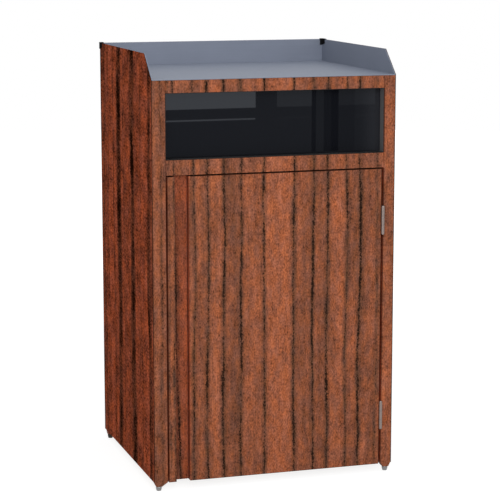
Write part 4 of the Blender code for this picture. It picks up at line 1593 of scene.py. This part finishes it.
class STATION_OT_stage(Operator):
    """Sets the floor, the light and the camera"""

    bl_idname = "station.stage"
    bl_label = "Stage"

    def execute(self, context):
        stage = context.scene.station_stage
        self.world(context.scene, stage)
        self.floor(stage)
        for name, (place, target, size) in LAMPS.items():
            self.lamp(name + "_light", getattr(stage, name), place, target, size)
        self.flag("dark_flag", stage.flag, *FLAG)
        for number, pane in enumerate(FLAG_PANES):
            self.flag(f"flag_pane_{number}", stage.flag - PANE_PROUD, *pane)
        self.camera(context.scene, stage)
        context.scene.view_settings.view_transform = "Standard"
        return {"FINISHED"}

    def seen(self, graph):
        """1 for rays that show the background: from the camera, off gloss and through glass."""
        rays = [
            graph.add("ShaderNodeLightPath", None, (), ray)
            for ray in ("Is Camera Ray", "Is Glossy Ray", "Is Transmission Ray")
        ]
        return rays[0].most(rays[1]).most(rays[2])

    def world(self, scene, stage):
        """Soft light from all round, and a white background."""
        scene.world = bpy.data.worlds.new("studio")
        graph = Graph(scene.world)
        soft = graph.add("ShaderNodeBackground", None, {"Color": WHITE, "Strength": stage.ambient})
        white = graph.add("ShaderNodeBackground", None, {"Color": WHITE, "Strength": 1.0})
        mixed = graph.add("ShaderNodeMixShader", None, (self.seen(graph), soft, white))
        graph.end(mixed, "ShaderNodeOutputWorld")

    def floor(self, stage):
        """A pale disc that goes white with distance and keeps the object's shadow."""
        clear_bench()
        bpy.ops.mesh.primitive_circle_add(vertices=FLOOR_SIDES, radius=FLOOR_RADIUS, fill_type="NGON")
        floor = bpy.context.active_object
        floor.name = "studio_floor"
        graph = new_finish("studio_floor")
        x, y, _ = graph.parts(graph.spot())
        far = (x * x + y * y).rise(*FLOOR_FADE)
        white_share = self.seen(graph) * (FLOOR_NEAR_WHITE + (1.0 - FLOOR_NEAR_WHITE) * far)
        matt = graph.add("ShaderNodeBsdfDiffuse", None, {"Color": opaque(stage.floor)})
        white = graph.add("ShaderNodeEmission", None, {"Color": WHITE, "Strength": stage.floor_white})
        floor.data.materials.append(
            graph.end(graph.add("ShaderNodeMixShader", None, (white_share, matt, white)))
        )

    def flag(self, name, distance, across, up, strength):
        """An upright card that only gloss shows, such as the dark flag that the flap mirrors."""
        clear_bench()
        middle = (sum(across) / 2, -distance, sum(up) / 2)
        bpy.ops.mesh.primitive_plane_add(size=1.0, location=middle, rotation=AXIS_TURNS["Y"])
        card = bpy.context.active_object
        card.name = name
        card.scale = (across[1] - across[0], up[1] - up[0], 1)
        graph = new_finish(name)
        glow = graph.add("ShaderNodeEmission", None, {"Color": FLAG_TINT, "Strength": strength})
        card.data.materials.append(graph.end(glow))
        for ray in ("camera", "diffuse", "transmission", "volume_scatter", "shadow"):
            setattr(card, "visible_" + ray, False)

    def lamp(self, name, watts, place, target, size):
        """A square soft light that looks at a point."""
        clear_bench()
        bpy.ops.object.light_add(type="AREA", location=place)
        lamp = bpy.context.active_object
        lamp.name = name
        lamp.data.energy = watts
        lamp.data.size = size
        lamp.visible_camera = False
        aim = Vector(target) - Vector(place)
        lamp.rotation_euler = aim.to_track_quat("-Z", "Y").to_euler()

    def camera(self, scene, stage):
        """A camera that is level from side to side and looks down a little."""
        clear_bench()
        turn = (math.pi / 2 - stage.pitch, 0, -stage.yaw)
        bpy.ops.object.camera_add(location=stage.eye, rotation=turn)
        camera = bpy.context.active_object
        camera.data.lens = stage.lens
        scene.camera = camera


STEPS = (
    STATION_OT_stage,
    STATION_OT_cladding,
    STATION_OT_face_frame,
    STATION_OT_door,
    STATION_OT_deck,
    STATION_OT_corner_caps,
    STATION_OT_hinges,
    STATION_OT_screws,
    STATION_OT_flap,
    STATION_OT_catch,
    STATION_OT_feet,
    STATION_OT_bin,
)

SETTINGS = {
    "station_sizes": StationSizes,
    "station_laminate": StationLaminate,
    "station_metal": StationMetal,
    "station_plastic": StationPlastic,
    "station_stage": StationStage,
}


class STATION_PT_looks(Panel):
    """Lists the steps that dress the waste station, and their settings"""

    bl_label = "Waste Station"
    bl_space_type = "VIEW_3D"
    bl_region_type = "UI"
    bl_category = "Waste Station"

    def draw(self, context):
        for step in STEPS:
            self.layout.operator(step.bl_idname)
        for name, group in SETTINGS.items():
            box = self.layout.box()
            for setting in group.__annotations__:
                box.prop(getattr(context.scene, name), setting)


def register():
    for group in (*SETTINGS.values(), *STEPS, STATION_PT_looks):
        bpy.utils.register_class(group)
    for name, group in SETTINGS.items():
        setattr(bpy.types.Scene, name, PointerProperty(type=group))


def unregister():
    for name in SETTINGS:
        delattr(bpy.types.Scene, name)
    for group in (STATION_PT_looks, *STEPS, *SETTINGS.values()):
        bpy.utils.unregister_class(group)


def main():
    """Runs every step in order."""
    register()
    for step in STEPS:
        family, name = step.bl_idname.split(".")
        getattr(getattr(bpy.ops, family), name)()
    clear_bench()


if __name__ == "__main__":
    main()
